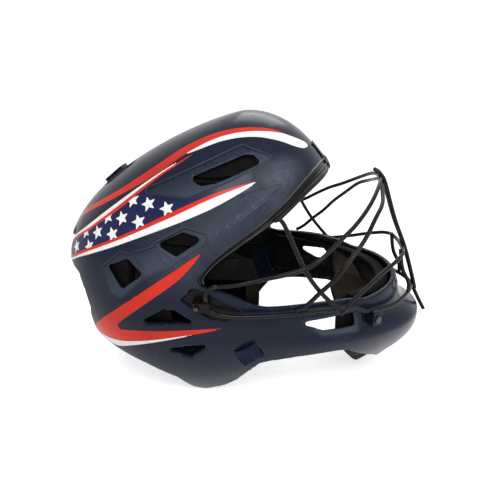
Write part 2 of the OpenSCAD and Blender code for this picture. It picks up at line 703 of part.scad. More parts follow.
// A cushion against the inside of the shell: its rows and columns are directions from the
// middle of the head, and its inner face swells from thin edges to the full thickness
function rounded(u, v, k) = [u * sqrt(1 - k * v * v), v * sqrt(1 - k * u * u)];
function swell(u, v) = 0.4 + 0.6 * sqrt(max(0, 1 - pow(u, 4))) * sqrt(max(0, 1 - pow(v, 4)));
module cushion(a, b, counts, gap, thickness, over_top = false, even = false, corner = 0.28,
               slant = 0, bow = 0) {
    na = counts[0];
    nb = counts[1];
    cells = [for (i = [0:na], j = [0:nb]) let (
        u = 2 * i / na - 1,
        v = 2 * j / nb - 1,
        r = rounded(u, v, corner),
        p = (a[0] + a[1] + r[0] * (a[1] - a[0])) / 2,
        q = (b[0] + b[1] + r[1] * (b[1] - b[0])) / 2 + (slant * u + bow * u * u) * (1 - v) / 2
    ) [over_top ? over(p, q) : around(p, q), even ? thickness : thickness * swell(u, v)]];
    outer = [for (c = cells) cast(c[0], -gap)];
    inner = [for (c = cells) cast(c[0], -gap - c[1])];
    m = nb + 1;
    base = len(cells);
    rim = concat(
        [for (i = [0:na - 1]) i * m], [for (j = [0:nb - 1]) na * m + j],
        [for (i = [na:-1:1]) i * m + nb], [for (j = [nb:-1:1]) j]
    );
    faces = concat(
        [for (i = [0:na - 1], j = [0:nb - 1], half = [0, 1]) let (k = i * m + j)
            half == 0 ? [k, k + m + 1, k + m] : [k, k + 1, k + m + 1]],
        [for (i = [0:na - 1], j = [0:nb - 1], half = [0, 1]) let (k = base + i * m + j)
            half == 0 ? [k, k + m, k + m + 1] : [k, k + m + 1, k + 1]],
        [for (i = [0:len(rim) - 1], half = [0, 1]) let (
            p = rim[i], q = rim[(i + 1) % len(rim)]
        ) half == 0 ? [p, base + q, base + p] : [p, q, base + q]]
    );
    polyhedron(concat(outer, inner), faces, convexity = 4);
}
inside = wall + seat_gap;
pad_color = [0.1, 0.09, 0.085];
module crown_pad() {
    color(pad_color) cushion([-62, 28.5], [-24, 24], [14, 7], inside, pad_thickness, true);
}
module brow_pad() {
    color(pad_color) cushion([-42, 42], [46.5, 58.5], [12, 4], inside, pad_thickness * 0.8);
}
module side_pad(s) {
    color(pad_color) left_or_right(s) cushion([80, 128], [19, 46], [8, 7], inside, pad_thickness);
}
module side_pad_left() {
    side_pad(1);
}
module side_pad_right() {
    side_pad(-1);
}
module temple_pad(s) {
    color(pad_color) left_or_right(s)
        cushion([58, 122], [49, 62], [10, 4], inside, pad_thickness * 0.7);
}
module temple_pad_left() {
    temple_pad(1);
}
module temple_pad_right() {
    temple_pad(-1);
}
module nape_pad(s) {
    color(pad_color) left_or_right(s) cushion([124.5, 149], [-11, 14], [6, 6], inside + 0.4, pad_thickness);
}
module nape_pad_left() {
    nape_pad(1);
}
module nape_pad_right() {
    nape_pad(-1);
}
// Room left in the ear pads for the plug, and how far the pads stand off beside it
ear_notch = [[-55, 86], [-55, 126], [6, 126], [6, 86]];
ear_pad_set = 1.2;
module ear_pad(s) {
    color(pad_color) left_or_right(s) difference() {
        cushion([66, 122.5], [-22, 14], [10, 7], inside + ear_pad_set, ear_pad_thickness, corner = 0.16);
        across_at(plug_back - nut_height - 1.6, through) polygon(side(ear_notch));
    }
}
module ear_pad_left() {
    ear_pad(1);
}
module ear_pad_right() {
    ear_pad(-1);
}
module lobe_pad(s) {
    color(pad_color) left_or_right(s)
        cushion([89, 118], [-46, -34], [6, 4], inside, pad_thickness * 0.7);
}
module lobe_pad_left() {
    lobe_pad(1);
}
module lobe_pad_right() {
    lobe_pad(-1);
}
// Room left in the jaw liners for the vent
jaw_pad_notch = [[30, 40], [48, 91], [76, 92.5], [80, 88], [80, 40]];
module jaw_pad(s) {
    color(pad_color) left_or_right(s) difference() {
        cushion([29, 62], [-29, -11], [10, 5], inside + 0.3, jaw_pad_thickness, corner = 0.06, slant = -3);
        side_prism(jaw_pad_notch);
    }
}
module jaw_pad_left() {
    jaw_pad(1);
}
module jaw_pad_right() {
    jaw_pad(-1);
}
module chin_cup() {
    color(pad_color) difference() {
        cushion([-28, 28], [-41, -8.5], [10, 12], inside + 3, chin_pad_thickness, corner = 0.06, bow = 11);
        translate([0, -through / 2, -through]) cube(through);
    }
}

// The back plate, which hangs inside the opening at the back of the head
plate_sink = 14;
plate_turn = asin(plate_half_width / (rear_reach - 44));
plate_low = atan((plate_bottom - head_z) / (rear_reach - 50));
plate_high = atan((plate_top - head_z) / (rear_reach - 40));
module back_plate() {
    color([0.15, 0.18, 0.27]) cushion(
        [180 - plate_turn, 180 + plate_turn], [plate_low, plate_high], [8, 6], plate_sink, plate_wall,
        even = true
    );
}
module back_pad() {
    color(pad_color) cushion(
        [180 - plate_turn * 0.88, 180 + plate_turn * 0.88], [plate_low + 2, plate_high - 2], [8, 6],
        plate_sink + plate_wall + seat_gap, pad_thickness * 0.7
    );
}
// The anchor on the plate's upper edge and the hook on the back of the crown
plate_edge = cast(around(180, plate_high), -plate_sink - plate_wall / 2);
anchor_size = [6, 26, 5];
module strap_anchor() {
    color([0.07, 0.07, 0.075]) translate(plate_edge + [-0.6, 0, anchor_size[2] / 2 + 0.4])
        cube(anchor_size, center = true);
}
hook_size = [20, 16, 5];
hook_pitch = -55.6;
hook_slope = 39.3;
hook_hole = 1.6;
module strap_hook() {
    color([0.06, 0.06, 0.065]) translate(cast(over(hook_pitch, 0), 0)) rotate([0, -hook_slope, 0])
        difference() {
            translate([0, 0, hook_size[2] / 2 + 0.3]) cube(hook_size, center = true);
            translate([2, 0, hook_size[2] - 1.4]) rotate([90, 0, 0])
                cylinder(r = hook_hole, h = 40, center = true, $fn = 16);
        }
}
// The elastic strap from the crown's inner face to the plate
strap_top = 162;
module crown_strap() {
    color([0.06, 0.06, 0.06]) strip([
        for (z = [lifted(strap_top), lifted(strap_top - 12), lifted(strap_top - 22)])
            [[rear_at(z, -wall) + strap_thickness / 2 + seat_gap + 0.8, 0, z], [0, 1, 0]],
        [plate_edge + [0, 0, anchor_size[2] + 1.3], [0, 1, 0]]
    ], strap_width, strap_thickness);
}
// The elastic straps from the plate's sides forward to the slots below the ears
side_strap_route = [[-8.8, 57.5], [-17, 63.5], [-34, 69], [-60, 71.5], [-90, 74.5], [-118, 81]];
module side_strap(s) {
    plate_side = cast(around(180 - plate_turn, (plate_low + plate_high) / 2 - 2), -plate_sink);
    color([0.06, 0.06, 0.06]) left_or_right(s) strip(concat(
        [for (p = side_strap_route) let (
            grow = -wall - seat_gap - strap_thickness / 2 - 0.7,
            x = apex_x + p[0],
            up = side_y(x, p[1] + 5, grow) - side_y(x, p[1] - 5, grow)
        ) [[x, side_y(x, p[1], grow), p[1]], [p[1] < 60 ? -0.37 : 0.2, up / 10, 1]]],
        [[plate_side + [4, 14, 0], [0.2, 0.1, 1]], [plate_side + [0.5, 2.4, 0], [0.1, 0, 1]]]
    ), strap_width, strap_thickness);
}
module side_strap_left() {
    side_strap(1);
}
module side_strap_right() {
    side_strap(-1);
}
// The loop of webbing on the outer face between the two strap slots
slot_middle = [for (ends = strap_slots) (ends[0] + ends[1]) / 2];
slot_along = strap_slots[0][0] - strap_slots[0][1];
function on_face(p, grow) = [apex_x + p[0], side_y(apex_x + p[0], p[1], grow), p[1]];
module strap_loop(s) {
    a = slot_middle[0];
    b = slot_middle[1];
    out = strap_thickness / 2 + 0.9;
    width_way = on_face(a + slot_along / 2, 0) - on_face(a - slot_along / 2, 0);
    color([0.12, 0.14, 0.26]) left_or_right(s) strip([for (p = [
        on_face(a, -wall - 1), on_face(a, -0.3), on_face(mix(a, b, 0.05), 1.4),
        on_face(mix(a, b, 0.2), out + 0.5), on_face(mix(a, b, 0.5), out + 1.2),
        on_face(mix(a, b, 0.8), out + 0.5),
        on_face(mix(a, b, 0.95), 1.4), on_face(b, -0.3), on_face(b, -wall - 4)
    ]) [p, width_way]], norm(slot_along) - 2.6, strap_thickness);
}
module strap_loop_left() {
    strap_loop(1);
}
module strap_loop_right() {
    strap_loop(-1);
}

outer_shell();
opening_trim();
eye_wire();
opening_wire();
cheek_wire();
mouth_wire();
jaw_wire();
center_bar_left();
center_bar_right();
chin_bar_left();
chin_bar_right();
throat_guard();
cage_mount_left();
cage_mount_right();
cage_clip_left();
cage_clip_right();
cage_screw_left();
cage_screw_right();
cage_nut_left();
cage_nut_right();
chin_clip_left();
chin_clip_right();
chin_clip_screw_left();
chin_clip_screw_right();
brim_clip();
brim_clip_screw();
crown_pad();
brow_pad();
side_pad_left();
side_pad_right();
temple_pad_left();
temple_pad_right();
nape_pad_left();
nape_pad_right();
ear_pad_left();
ear_pad_right();
lobe_pad_left();
lobe_pad_right();
jaw_pad_left();
jaw_pad_right();
chin_cup();
back_plate();
back_pad();
strap_anchor();
strap_hook();
crown_strap();
side_strap_left();
side_strap_right();
strap_loop_left();
strap_loop_right();
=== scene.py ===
"""Catcher helmet: moulded shell with painted stripes, welded wire cage, pads and sprung back plate."""

import math

import bmesh
import bpy
import numpy as np
from bpy.props import FloatProperty, FloatVectorProperty, IntProperty, PointerProperty
from mathutils import Matrix, Vector


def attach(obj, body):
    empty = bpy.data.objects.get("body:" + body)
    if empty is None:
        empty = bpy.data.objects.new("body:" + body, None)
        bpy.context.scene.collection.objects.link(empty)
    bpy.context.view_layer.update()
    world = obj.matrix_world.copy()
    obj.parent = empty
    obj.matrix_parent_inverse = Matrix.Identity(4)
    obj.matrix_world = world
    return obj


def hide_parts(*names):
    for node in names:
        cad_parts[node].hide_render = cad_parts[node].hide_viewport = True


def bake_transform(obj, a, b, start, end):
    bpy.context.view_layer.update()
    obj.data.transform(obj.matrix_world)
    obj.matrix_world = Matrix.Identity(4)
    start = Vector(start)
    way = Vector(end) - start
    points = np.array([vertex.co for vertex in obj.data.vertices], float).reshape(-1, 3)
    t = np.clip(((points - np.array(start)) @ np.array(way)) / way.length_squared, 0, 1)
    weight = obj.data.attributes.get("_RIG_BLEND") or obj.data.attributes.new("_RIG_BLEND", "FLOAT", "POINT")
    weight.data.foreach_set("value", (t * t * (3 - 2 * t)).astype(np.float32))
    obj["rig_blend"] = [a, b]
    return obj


bl_info = {
    "name": "Catcher Helmet",
    "version": (1, 0, 0),
    "blender": (4, 5, 0),
    "location": "3D View > Sidebar > Helmet",
    "description": "Dresses the catcher helmet's solids with its finished shell, cage, pads and straps",
    "category": "Object",
}

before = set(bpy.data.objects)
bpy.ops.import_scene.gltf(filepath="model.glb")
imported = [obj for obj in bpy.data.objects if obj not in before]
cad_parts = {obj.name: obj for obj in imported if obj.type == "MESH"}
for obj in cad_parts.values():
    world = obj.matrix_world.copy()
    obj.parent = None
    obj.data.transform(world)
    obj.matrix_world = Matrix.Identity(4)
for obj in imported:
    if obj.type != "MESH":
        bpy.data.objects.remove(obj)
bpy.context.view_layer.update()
HELMET = "helmet"
PLATE = "back_plate_body"
MM = 0.001

# The helmet's form in millimetres, as the solids have it. X runs from the rear to the face,
# and outlines in the side view give x from the crown's top and the height.
CROWN = 247.0
WIDEST = 115.0
HALF_WIDTH = 104.0
REAR_REACH = 167.0
FRONT_REACH = 93.0
EAR_SETBACK = 35.0
WALL = 4.5
COLLAR_REACH = 140.0
COLLAR_TOP = 101.0
CHIN_REACH = 165.0
CHIN_HEIGHT = 57.0
STEP_TOP = 77.0
STEP_BLEND = 10.0
DRAW_IN = 147.0
FORM_BOTTOM = -10.0
FALL_MOST = 0.97
COLLAR_LEAN = 0.3
CHIN_CURVE = 0.0132
FRONT_POWER = 2.15
REAR_POWER = 2.5
CHIN_POWER = 1.5
POWER_TOP = 70.0
POWER_BLEND = 50.0
REAR_TUCK = 0.45
REAR_RISE = 0.33
CROWN_SOFTNESS = 0.03
BRIM = 208.0
BRIM_LINE = WIDEST + 0.674 * (CROWN - WIDEST)
BACK_TOP = 139.0
BACK_HALF = 57.0
BACK_LOW_HALF = 80.0
VENT_CORNER = 2.5
APEX = -5.8
HEAD = np.array([APEX - 25.0, 0.0, WIDEST + 5.0])
RING_SAMPLES = 400
CAST_REACH = (20.0, 260.0)
CAST_STEPS = 26
CROWN_MARGIN = 0.01

FACE_OUTLINE = [
    (70, BRIM + 2.5), (46, BRIM - 10), (23, BRIM - 28), (-6.5, BRIM - 49.5), (-25, BRIM - 64),
    (-30, 136), (-31.5, 128), (-29.5, 122.5), (-22, 120.5), (-12.5, 119), (0, 113), (9, 108),
    (18, 104.5), (27, 103.3), (50, 104), (74, 104), (93, 102.5), (106, COLLAR_TOP - 2),
    (120, COLLAR_TOP - 0.5), (COLLAR_REACH - 5, COLLAR_TOP), (240, COLLAR_TOP), (240, 240),
    (120, 240),
]
FACE_FIRM = -3
LOWER_OUTLINE = [
    (-240, -60), (-240, 78), (-131, 58), (-111, 49), (-84, 37), (-58, 21), (-47, 4), (-39, 0),
    (-33, 0), (-16, 8), (-4, 18), (7, 33), (17, 44), (25, 46.5), (50, 50), (84, 52), (93, 50),
    (109, 35), (122, 20), (130, 8), (240, 8), (240, -60),
]
EAR_POCKET = [(-45, 111), (-36, 120.5), (-27, 117.5), (3, 99.5), (-6, 93.5), (-19, 92.5)]
VENTS = [
    [(-38, 202.5), (-33, 199.5), (-22, 200.5), (15, 215.5), (11, 219), (5, 219.5)],
    [(-62, 154), (-41, 165), (-29, 160), (-49, 145.5)],
    [(-107, 132.5), (-88, 141.5), (-76, 130), (-95, 115)],
    [(-78, 86.5), (-63, 99.5), (-57, 101.5), (-49, 100.5), (-37, 89.5)],
    [(-59, 59.5), (-27, 66.5), (-42, 50.5)],
    [(54, 85), (77, 88.5), (96.5, 87.5), (98, 78.5), (79, 78.5), (68, 77.5)],
    EAR_POCKET,
]
STRAP_SLOTS = [((-3, 63), (4, 44)), ((12, 73), (20, 54))]
STRAP_SLOT_RADIUS = 0.95
SLOT_END = 1.7
BACK_OUTLINE = [
    (0, BACK_TOP), (BACK_HALF - 8, BACK_TOP), (BACK_HALF, BACK_TOP - 4),
    (BACK_HALF + 5, BACK_TOP - 14), (BACK_LOW_HALF - 4, BACK_TOP - 20),
    (BACK_LOW_HALF, BACK_TOP - 34), (BACK_LOW_HALF, 90), (BACK_LOW_HALF - 9, 64),
    (BACK_LOW_HALF - 10, -20), (-20, -20), (-20, BACK_TOP),
]
BACK_DEPTH = 88.0
NOTCHES = [((BACK_HALF - 7, BACK_TOP + 6), 6.0), ((BACK_HALF - 14, BACK_TOP - 10), 12.0)]


def mix(a, b, k):
    return a + (b - a) * k


def smooth(k):
    k = np.clip(k, 0.0, 1.0)
    return k * k * (3 - 2 * k)


def unit(v):
    return v / np.maximum(np.linalg.norm(v, axis=-1, keepdims=True), 1e-12)


# The form of the shell


def rise(z, grow=0.0):
    return np.clip((z - WIDEST) / (CROWN + grow - WIDEST), 0, 1)


def fall(z):
    return np.clip((WIDEST - z) / DRAW_IN, 0, FALL_MOST)


def half_at(z, grow=0.0):
    tuck = np.sqrt(1 - fall(z) ** 2)
    return (HALF_WIDTH + grow) * np.sqrt(1 - rise(z, grow) ** 2) * tuck + grow * (1 - tuck)


def mid_at(z):
    return APEX - EAR_SETBACK * (1 - rise(z) ** 2)


def rear_at(z, grow=0.0):
    t = 1 - rise(z, grow) ** 2
    swing = np.sqrt(t) * ((t + CROWN_SOFTNESS) / (1 + CROWN_SOFTNESS)) ** REAR_RISE
    low = (1 - fall(z) ** 2) ** REAR_TUCK
    return APEX - (REAR_REACH + grow) * swing * low - grow * (1 - low)


def brow_at(z, grow=0.0):
    return APEX + (FRONT_REACH + grow) * np.sqrt(1 - rise(z, grow) ** 2)


def front_at(z, grow=0.0):
    collar = APEX + COLLAR_REACH + (COLLAR_TOP - z) * COLLAR_LEAN + grow
    chin = APEX + CHIN_REACH - CHIN_CURVE * (z - CHIN_HEIGHT) ** 2 + grow
    collar_edge = APEX + COLLAR_REACH + grow
    opening = mix(brow_at(BRIM_LINE, grow), collar_edge, (BRIM_LINE - z) / (BRIM_LINE - COLLAR_TOP))
    step = mix(collar, chin, smooth((STEP_TOP - z) / STEP_BLEND))
    return np.where(z >= BRIM_LINE, brow_at(z, grow), np.where(z >= COLLAR_TOP, opening, step))


def power_at(z):
    return mix(FRONT_POWER, CHIN_POWER, np.clip((POWER_TOP - z) / POWER_BLEND, 0, 1))


def section_at(x, z, grow):
    """The widest place of the section at height z, with its power and reach on the side where x lies."""
    mid = mid_at(z)
    ahead = x > mid
    power = np.where(ahead, power_at(z), REAR_POWER)
    reach = np.where(ahead, front_at(z, grow) - mid, mid - rear_at(z, grow))
    return mid, power, reach


def side_y(x, z, grow=0.0):
    """Half width of the face at x and height z."""
    x, z = np.asarray(x, float), np.asarray(z, float)
    mid, n, reach = section_at(x, z, grow)
    u = np.minimum(np.abs(x - mid) / reach, 1)
    return half_at(z, grow) * (1 - u ** n) ** (1 / n)


def nose_x(y, z, grow=0.0):
    """Foremost x of the face at y and height z."""
    n = power_at(z)
    v = np.minimum(1, np.abs(y) / half_at(z, grow))
    return mid_at(z) + (front_at(z, grow) - mid_at(z)) * (1 - v ** n) ** (1 / n)


def ring(z, ahead_steps, behind_steps):
    """Evenly spaced points round the face at height z, from the middle of the front."""
    mid, half = float(mid_at(z)), float(half_at(z))
    quarter = []
    for ahead, count in ((True, ahead_steps), (False, behind_steps)):
        n = float(power_at(z)) if ahead else REAR_POWER
        reach = float(front_at(z)) - mid if ahead else mid - float(rear_at(z))
        a = np.linspace(0, math.pi / 2, RING_SAMPLES)
        x = reach * np.cos(a) ** (2 / n)
        y = half * np.sin(a) ** (2 / n)
        way = np.concatenate([[0], np.cumsum(np.hypot(np.diff(x), np.diff(y)))])
        number = np.arange(RING_SAMPLES)
        at = np.interp(np.linspace(0, way[-1], count + 1), way, number)
        x, y = np.interp(at, number, x), np.interp(at, number, y)
        quarter.append((mid + x, y) if ahead else (mid - x[::-1], y[::-1]))
    x = np.concatenate([quarter[0][0], quarter[1][0][1:]])
    y = np.concatenate([quarter[0][1], quarter[1][1][1:]])
    x = np.concatenate([x, x[-2:0:-1]])
    y = np.concatenate([y, -y[-2:0:-1]])
    return np.stack([x, y, np.full_like(x, z)], axis=1)


def cast(direction, grow):
    """Where rays from the middle of the head leave the face."""
    low, high = (np.full(len(direction), reach) for reach in CAST_REACH)
    for _ in range(CAST_STEPS):
        m = (low + high) / 2
        p = HEAD + direction * m[:, None]
        z = p[:, 2]
        mid, n, reach = section_at(p[:, 0], z, grow)
        inside = (np.abs(p[:, 0] - mid) / np.maximum(reach, 1e-6)) ** n
        inside = inside + (np.abs(p[:, 1]) / np.maximum(half_at(z, grow), 1e-6)) ** n
        hit = (inside < 1) & (z < CROWN + grow - CROWN_MARGIN)
        low, high = np.where(hit, m, low), np.where(hit, high, m)
    return HEAD + direction * low[:, None]


# Lines and outlines

EASE_REACH = 2.5
LINE_PARTS = 8
LINE_GAP = 1.5
FACE_PARTS = 6
FACE_EASING = 4.0
WINDOW_DRAW = 1.3
CIRCLE_POINTS = 24
EDGE_REACH = (1.0, 4.2)
EDGE_REACH_X = (62, 30)
EDGE_REACH_Z = (127, 136)


def ramp(value, start, end):
    """Rises smoothly from 0 at one value to 1 at another."""
    return smooth((value - start) / (end - start))


def side_view(p):
    """Where points lie in the side view: x from the crown's top, and height."""
    return np.stack([p[:, 0] - APEX, p[:, 2]], axis=1)


def spline(points, parts):
    """A smooth line through points."""
    p = np.asarray(points, float)
    rows = np.concatenate([p[:1], p, p[-1:]])
    out = []
    for i in range(len(p) - 1):
        a, b, c, d = rows[i:i + 4]
        for t in np.linspace(0, 1, parts, endpoint=False):
            out.append(0.5 * (2 * b + (c - a) * t + (2 * a - 5 * b + 4 * c - d) * t ** 2
                              + (3 * b - a - 3 * c + d) * t ** 3))
    out.append(p[-1])
    return np.array(out)


def way_along(path):
    """How far along the path each of its points lies."""
    return np.concatenate([[0], np.cumsum(np.linalg.norm(np.diff(path, axis=0), axis=1))])


def looked_up(at, way, rows):
    """The rows between those that lie at each place of the way."""
    return np.stack([np.interp(at, way, column) for column in rows.T], axis=1)


def even(path, gap):
    """The path with its points a set gap apart."""
    way = way_along(path)
    return looked_up(np.linspace(0, way[-1], max(3, int(round(way[-1] / gap)) + 1)), way, path)


def eased(path, spread):
    """An evenly spaced path with its small bends evened out over a spread, and its ends kept."""
    gap = np.linalg.norm(path[1] - path[0])
    reach = int(math.ceil(EASE_REACH * spread / gap))
    weight = np.exp(-0.5 * (np.arange(-reach, reach + 1) * gap / spread) ** 2)
    weight = weight / weight.sum()
    head = 2 * path[0] - path[reach:0:-1]
    tail = 2 * path[-1] - path[-2:-reach - 2:-1]
    long = np.concatenate([head, path, tail])
    return np.stack([np.convolve(column, weight, "valid") for column in long.T], axis=1)


def drawn(points, parts, gap, spread):
    """An evenly spaced line through points, with its small bends evened out."""
    return eased(even(spline(points, parts), gap), spread)


def outline_distance(points, outline):
    """Distance from each point to the outline, below 0 inside it."""
    a = np.asarray(outline, float)
    b = np.roll(a, -1, axis=0)
    least = np.full(len(points), 1e9)
    inside = np.zeros(len(points), bool)
    for p, q in zip(a, b):
        along = q - p
        k = np.clip((points - p) @ along / max(along @ along, 1e-12), 0, 1)
        least = np.minimum(least, np.linalg.norm(points - p - k[:, None] * along, axis=1))
        if p[1] != q[1]:
            cross = p[0] + (points[:, 1] - p[1]) * along[0] / along[1]
            inside ^= ((p[1] > points[:, 1]) != (q[1] > points[:, 1])) & (points[:, 0] < cross)
    return np.where(inside, -least, least)


def hull(points):
    """Convex outline round points."""
    pts = sorted(set(map(tuple, np.round(points, 6))))

    def chain(sequence):
        out = []
        for p in sequence:
            while len(out) > 1 and np.cross(np.subtract(out[-1], out[-2]), np.subtract(p, out[-2])) <= 0:
                out.pop()
            out.append(p)
        return out[:-1]

    return chain(pts) + chain(pts[::-1])


def rounded_window(outline, radius):
    """Corners' centres of a rounded window."""
    pts = np.array(outline, float)
    return hull(pts + unit(pts.mean(axis=0) - pts) * radius * WINDOW_DRAW)


def circle_points(centre, radius):
    a = np.linspace(0, 2 * math.pi, CIRCLE_POINTS, endpoint=False)
    return np.stack([centre[0] + radius * np.cos(a), centre[1] + radius * np.sin(a)], axis=1)


def moved_in(line, shift):
    """A line in the side view moved towards the face opening by a distance at each of its points."""
    way = unit(np.gradient(line, axis=0))
    return line + np.stack([-way[:, 1], way[:, 0]], axis=1) * np.reshape(shift, (-1, 1))


def edge_reach(line):
    """How far the moulded edge reaches in under the rubber edging, from the brim down to the ear."""
    return mix(*EDGE_REACH, ramp(line[:, 0], *EDGE_REACH_X)) * ramp(line[:, 1], *EDGE_REACH_Z)


FACE_EASED = drawn(FACE_OUTLINE[:FACE_FIRM], FACE_PARTS, LINE_GAP, FACE_EASING)
FACE_SMOOTH = np.concatenate([moved_in(FACE_EASED, edge_reach(FACE_EASED)), FACE_OUTLINE[FACE_FIRM:]])
NOTCH_HULL = hull(np.concatenate([circle_points(c, r) for c, r in NOTCHES]))


def material_left(p):
    """Distance inside the shell's material from the nearest opening, below 0 where it is cut away."""
    flat = side_view(p)
    left = outline_distance(flat, FACE_SMOOTH)
    left = np.minimum(left, outline_distance(flat, LOWER_OUTLINE))
    for vent in VENTS:
        left = np.minimum(left, outline_distance(flat, rounded_window(vent, VENT_CORNER)) - VENT_CORNER)
    for ends in STRAP_SLOTS:
        ends = np.array(ends, float)
        ends = mix(ends, ends[::-1], SLOT_END / np.linalg.norm(ends[0] - ends[1]))
        left = np.minimum(left, outline_distance(flat, ends) - STRAP_SLOT_RADIUS)
    rear = np.stack([np.abs(p[:, 1]), p[:, 2]], axis=1)
    back = np.minimum(outline_distance(rear, BACK_OUTLINE), outline_distance(rear, NOTCH_HULL))
    return np.minimum(left, np.maximum(back, p[:, 0] - (APEX - BACK_DEPTH)))


class Recess:
    """A hollow pressed into the shell, whose depth changes evenly from its lower side to its upper one.

    The turn is its slope in the side view in degrees, and it starts a distance off the middle plane.
    """

    def __init__(self, outline, radius, low, high, turn=22.0, start=0.0):
        self.outline, self.radius, self.low, self.high, self.start = outline, radius, low, high, start
        self.up = np.array([-math.sin(math.radians(turn)), math.cos(math.radians(turn))])

    def inside(self, p):
        """Distance inside the outline, below 0 outside it."""
        window = rounded_window(self.outline, self.radius)
        far = self.radius - outline_distance(side_view(p), window)
        return np.minimum(far, np.abs(p[:, 1]) - self.start) if self.start else far

    def way_up(self, p):
        """0 at the lower side, 1 at the upper one."""
        ways = np.array(self.outline, float) @ self.up
        return np.clip((side_view(p) @ self.up - ways.min()) / np.ptp(ways), 0, 1)

    def depth(self, p):
        """Depth of the floor."""
        return mix(self.low, self.high, self.way_up(p))


RECESSES = [
    Recess([(-75, 192), (-60, 198), (2, 225.5), (24, 217), (-4, 203), (-42, 189)], 2, 1.2, 2.6),
    Recess([(-114, 129), (-108, 135), (-93, 147.5), (-82, 146), (-70, 131), (-80, 121), (-97, 106),
            (-105, 108)], 2, 0.9, 2.5),
    Recess([(-67, 153.5), (-40, 169), (-22, 163), (-23, 157), (-47, 140.5), (-56, 136)], 2, 1.0, 2.4),
    Recess([(-84, 146.5), (-63, 154), (-49, 143), (-57, 135.5), (-73, 126.5), (-79, 134)], 1, 0.6, 2.7),
    Recess([(-57, 135), (-45.4, 143.3), (-18.4, 164.8), (9, 183.5), (34, 198), (0, 192), (-27, 176),
            (-54, 152)], 1, 0.8, 0.0, turn=36.0),
    Recess([(50, 89), (76, 92), (101, 91), (101, 72), (80, 73), (66, 73)], 2, 1.0, 2.2, turn=0.0),
    Recess([(-140, 178), (-125, 193), (-98, 206), (-103, 198)], 2, 1.4, 2.2, turn=45.0, start=15.0),
]


# Meshes that split along lines

DISTANCE_USED = 12.0
STEEP_LEAST = 0.35
SNAP = 1e-4
# The triangles that take a cut one's place: 0 to 2 are its corners, 3 to 5 the cuts on the sides that
# follow them. With one cut it lies on the first side, and with two the last side has none.
ONE_CUT = ((0, 3, 2), (3, 1, 2))
TWO_CUTS = ((1, 4, 3), (0, 3, 4), (0, 4, 2))
THREE_CUTS = ((0, 3, 5), (3, 1, 4), (4, 2, 5), (3, 4, 5))


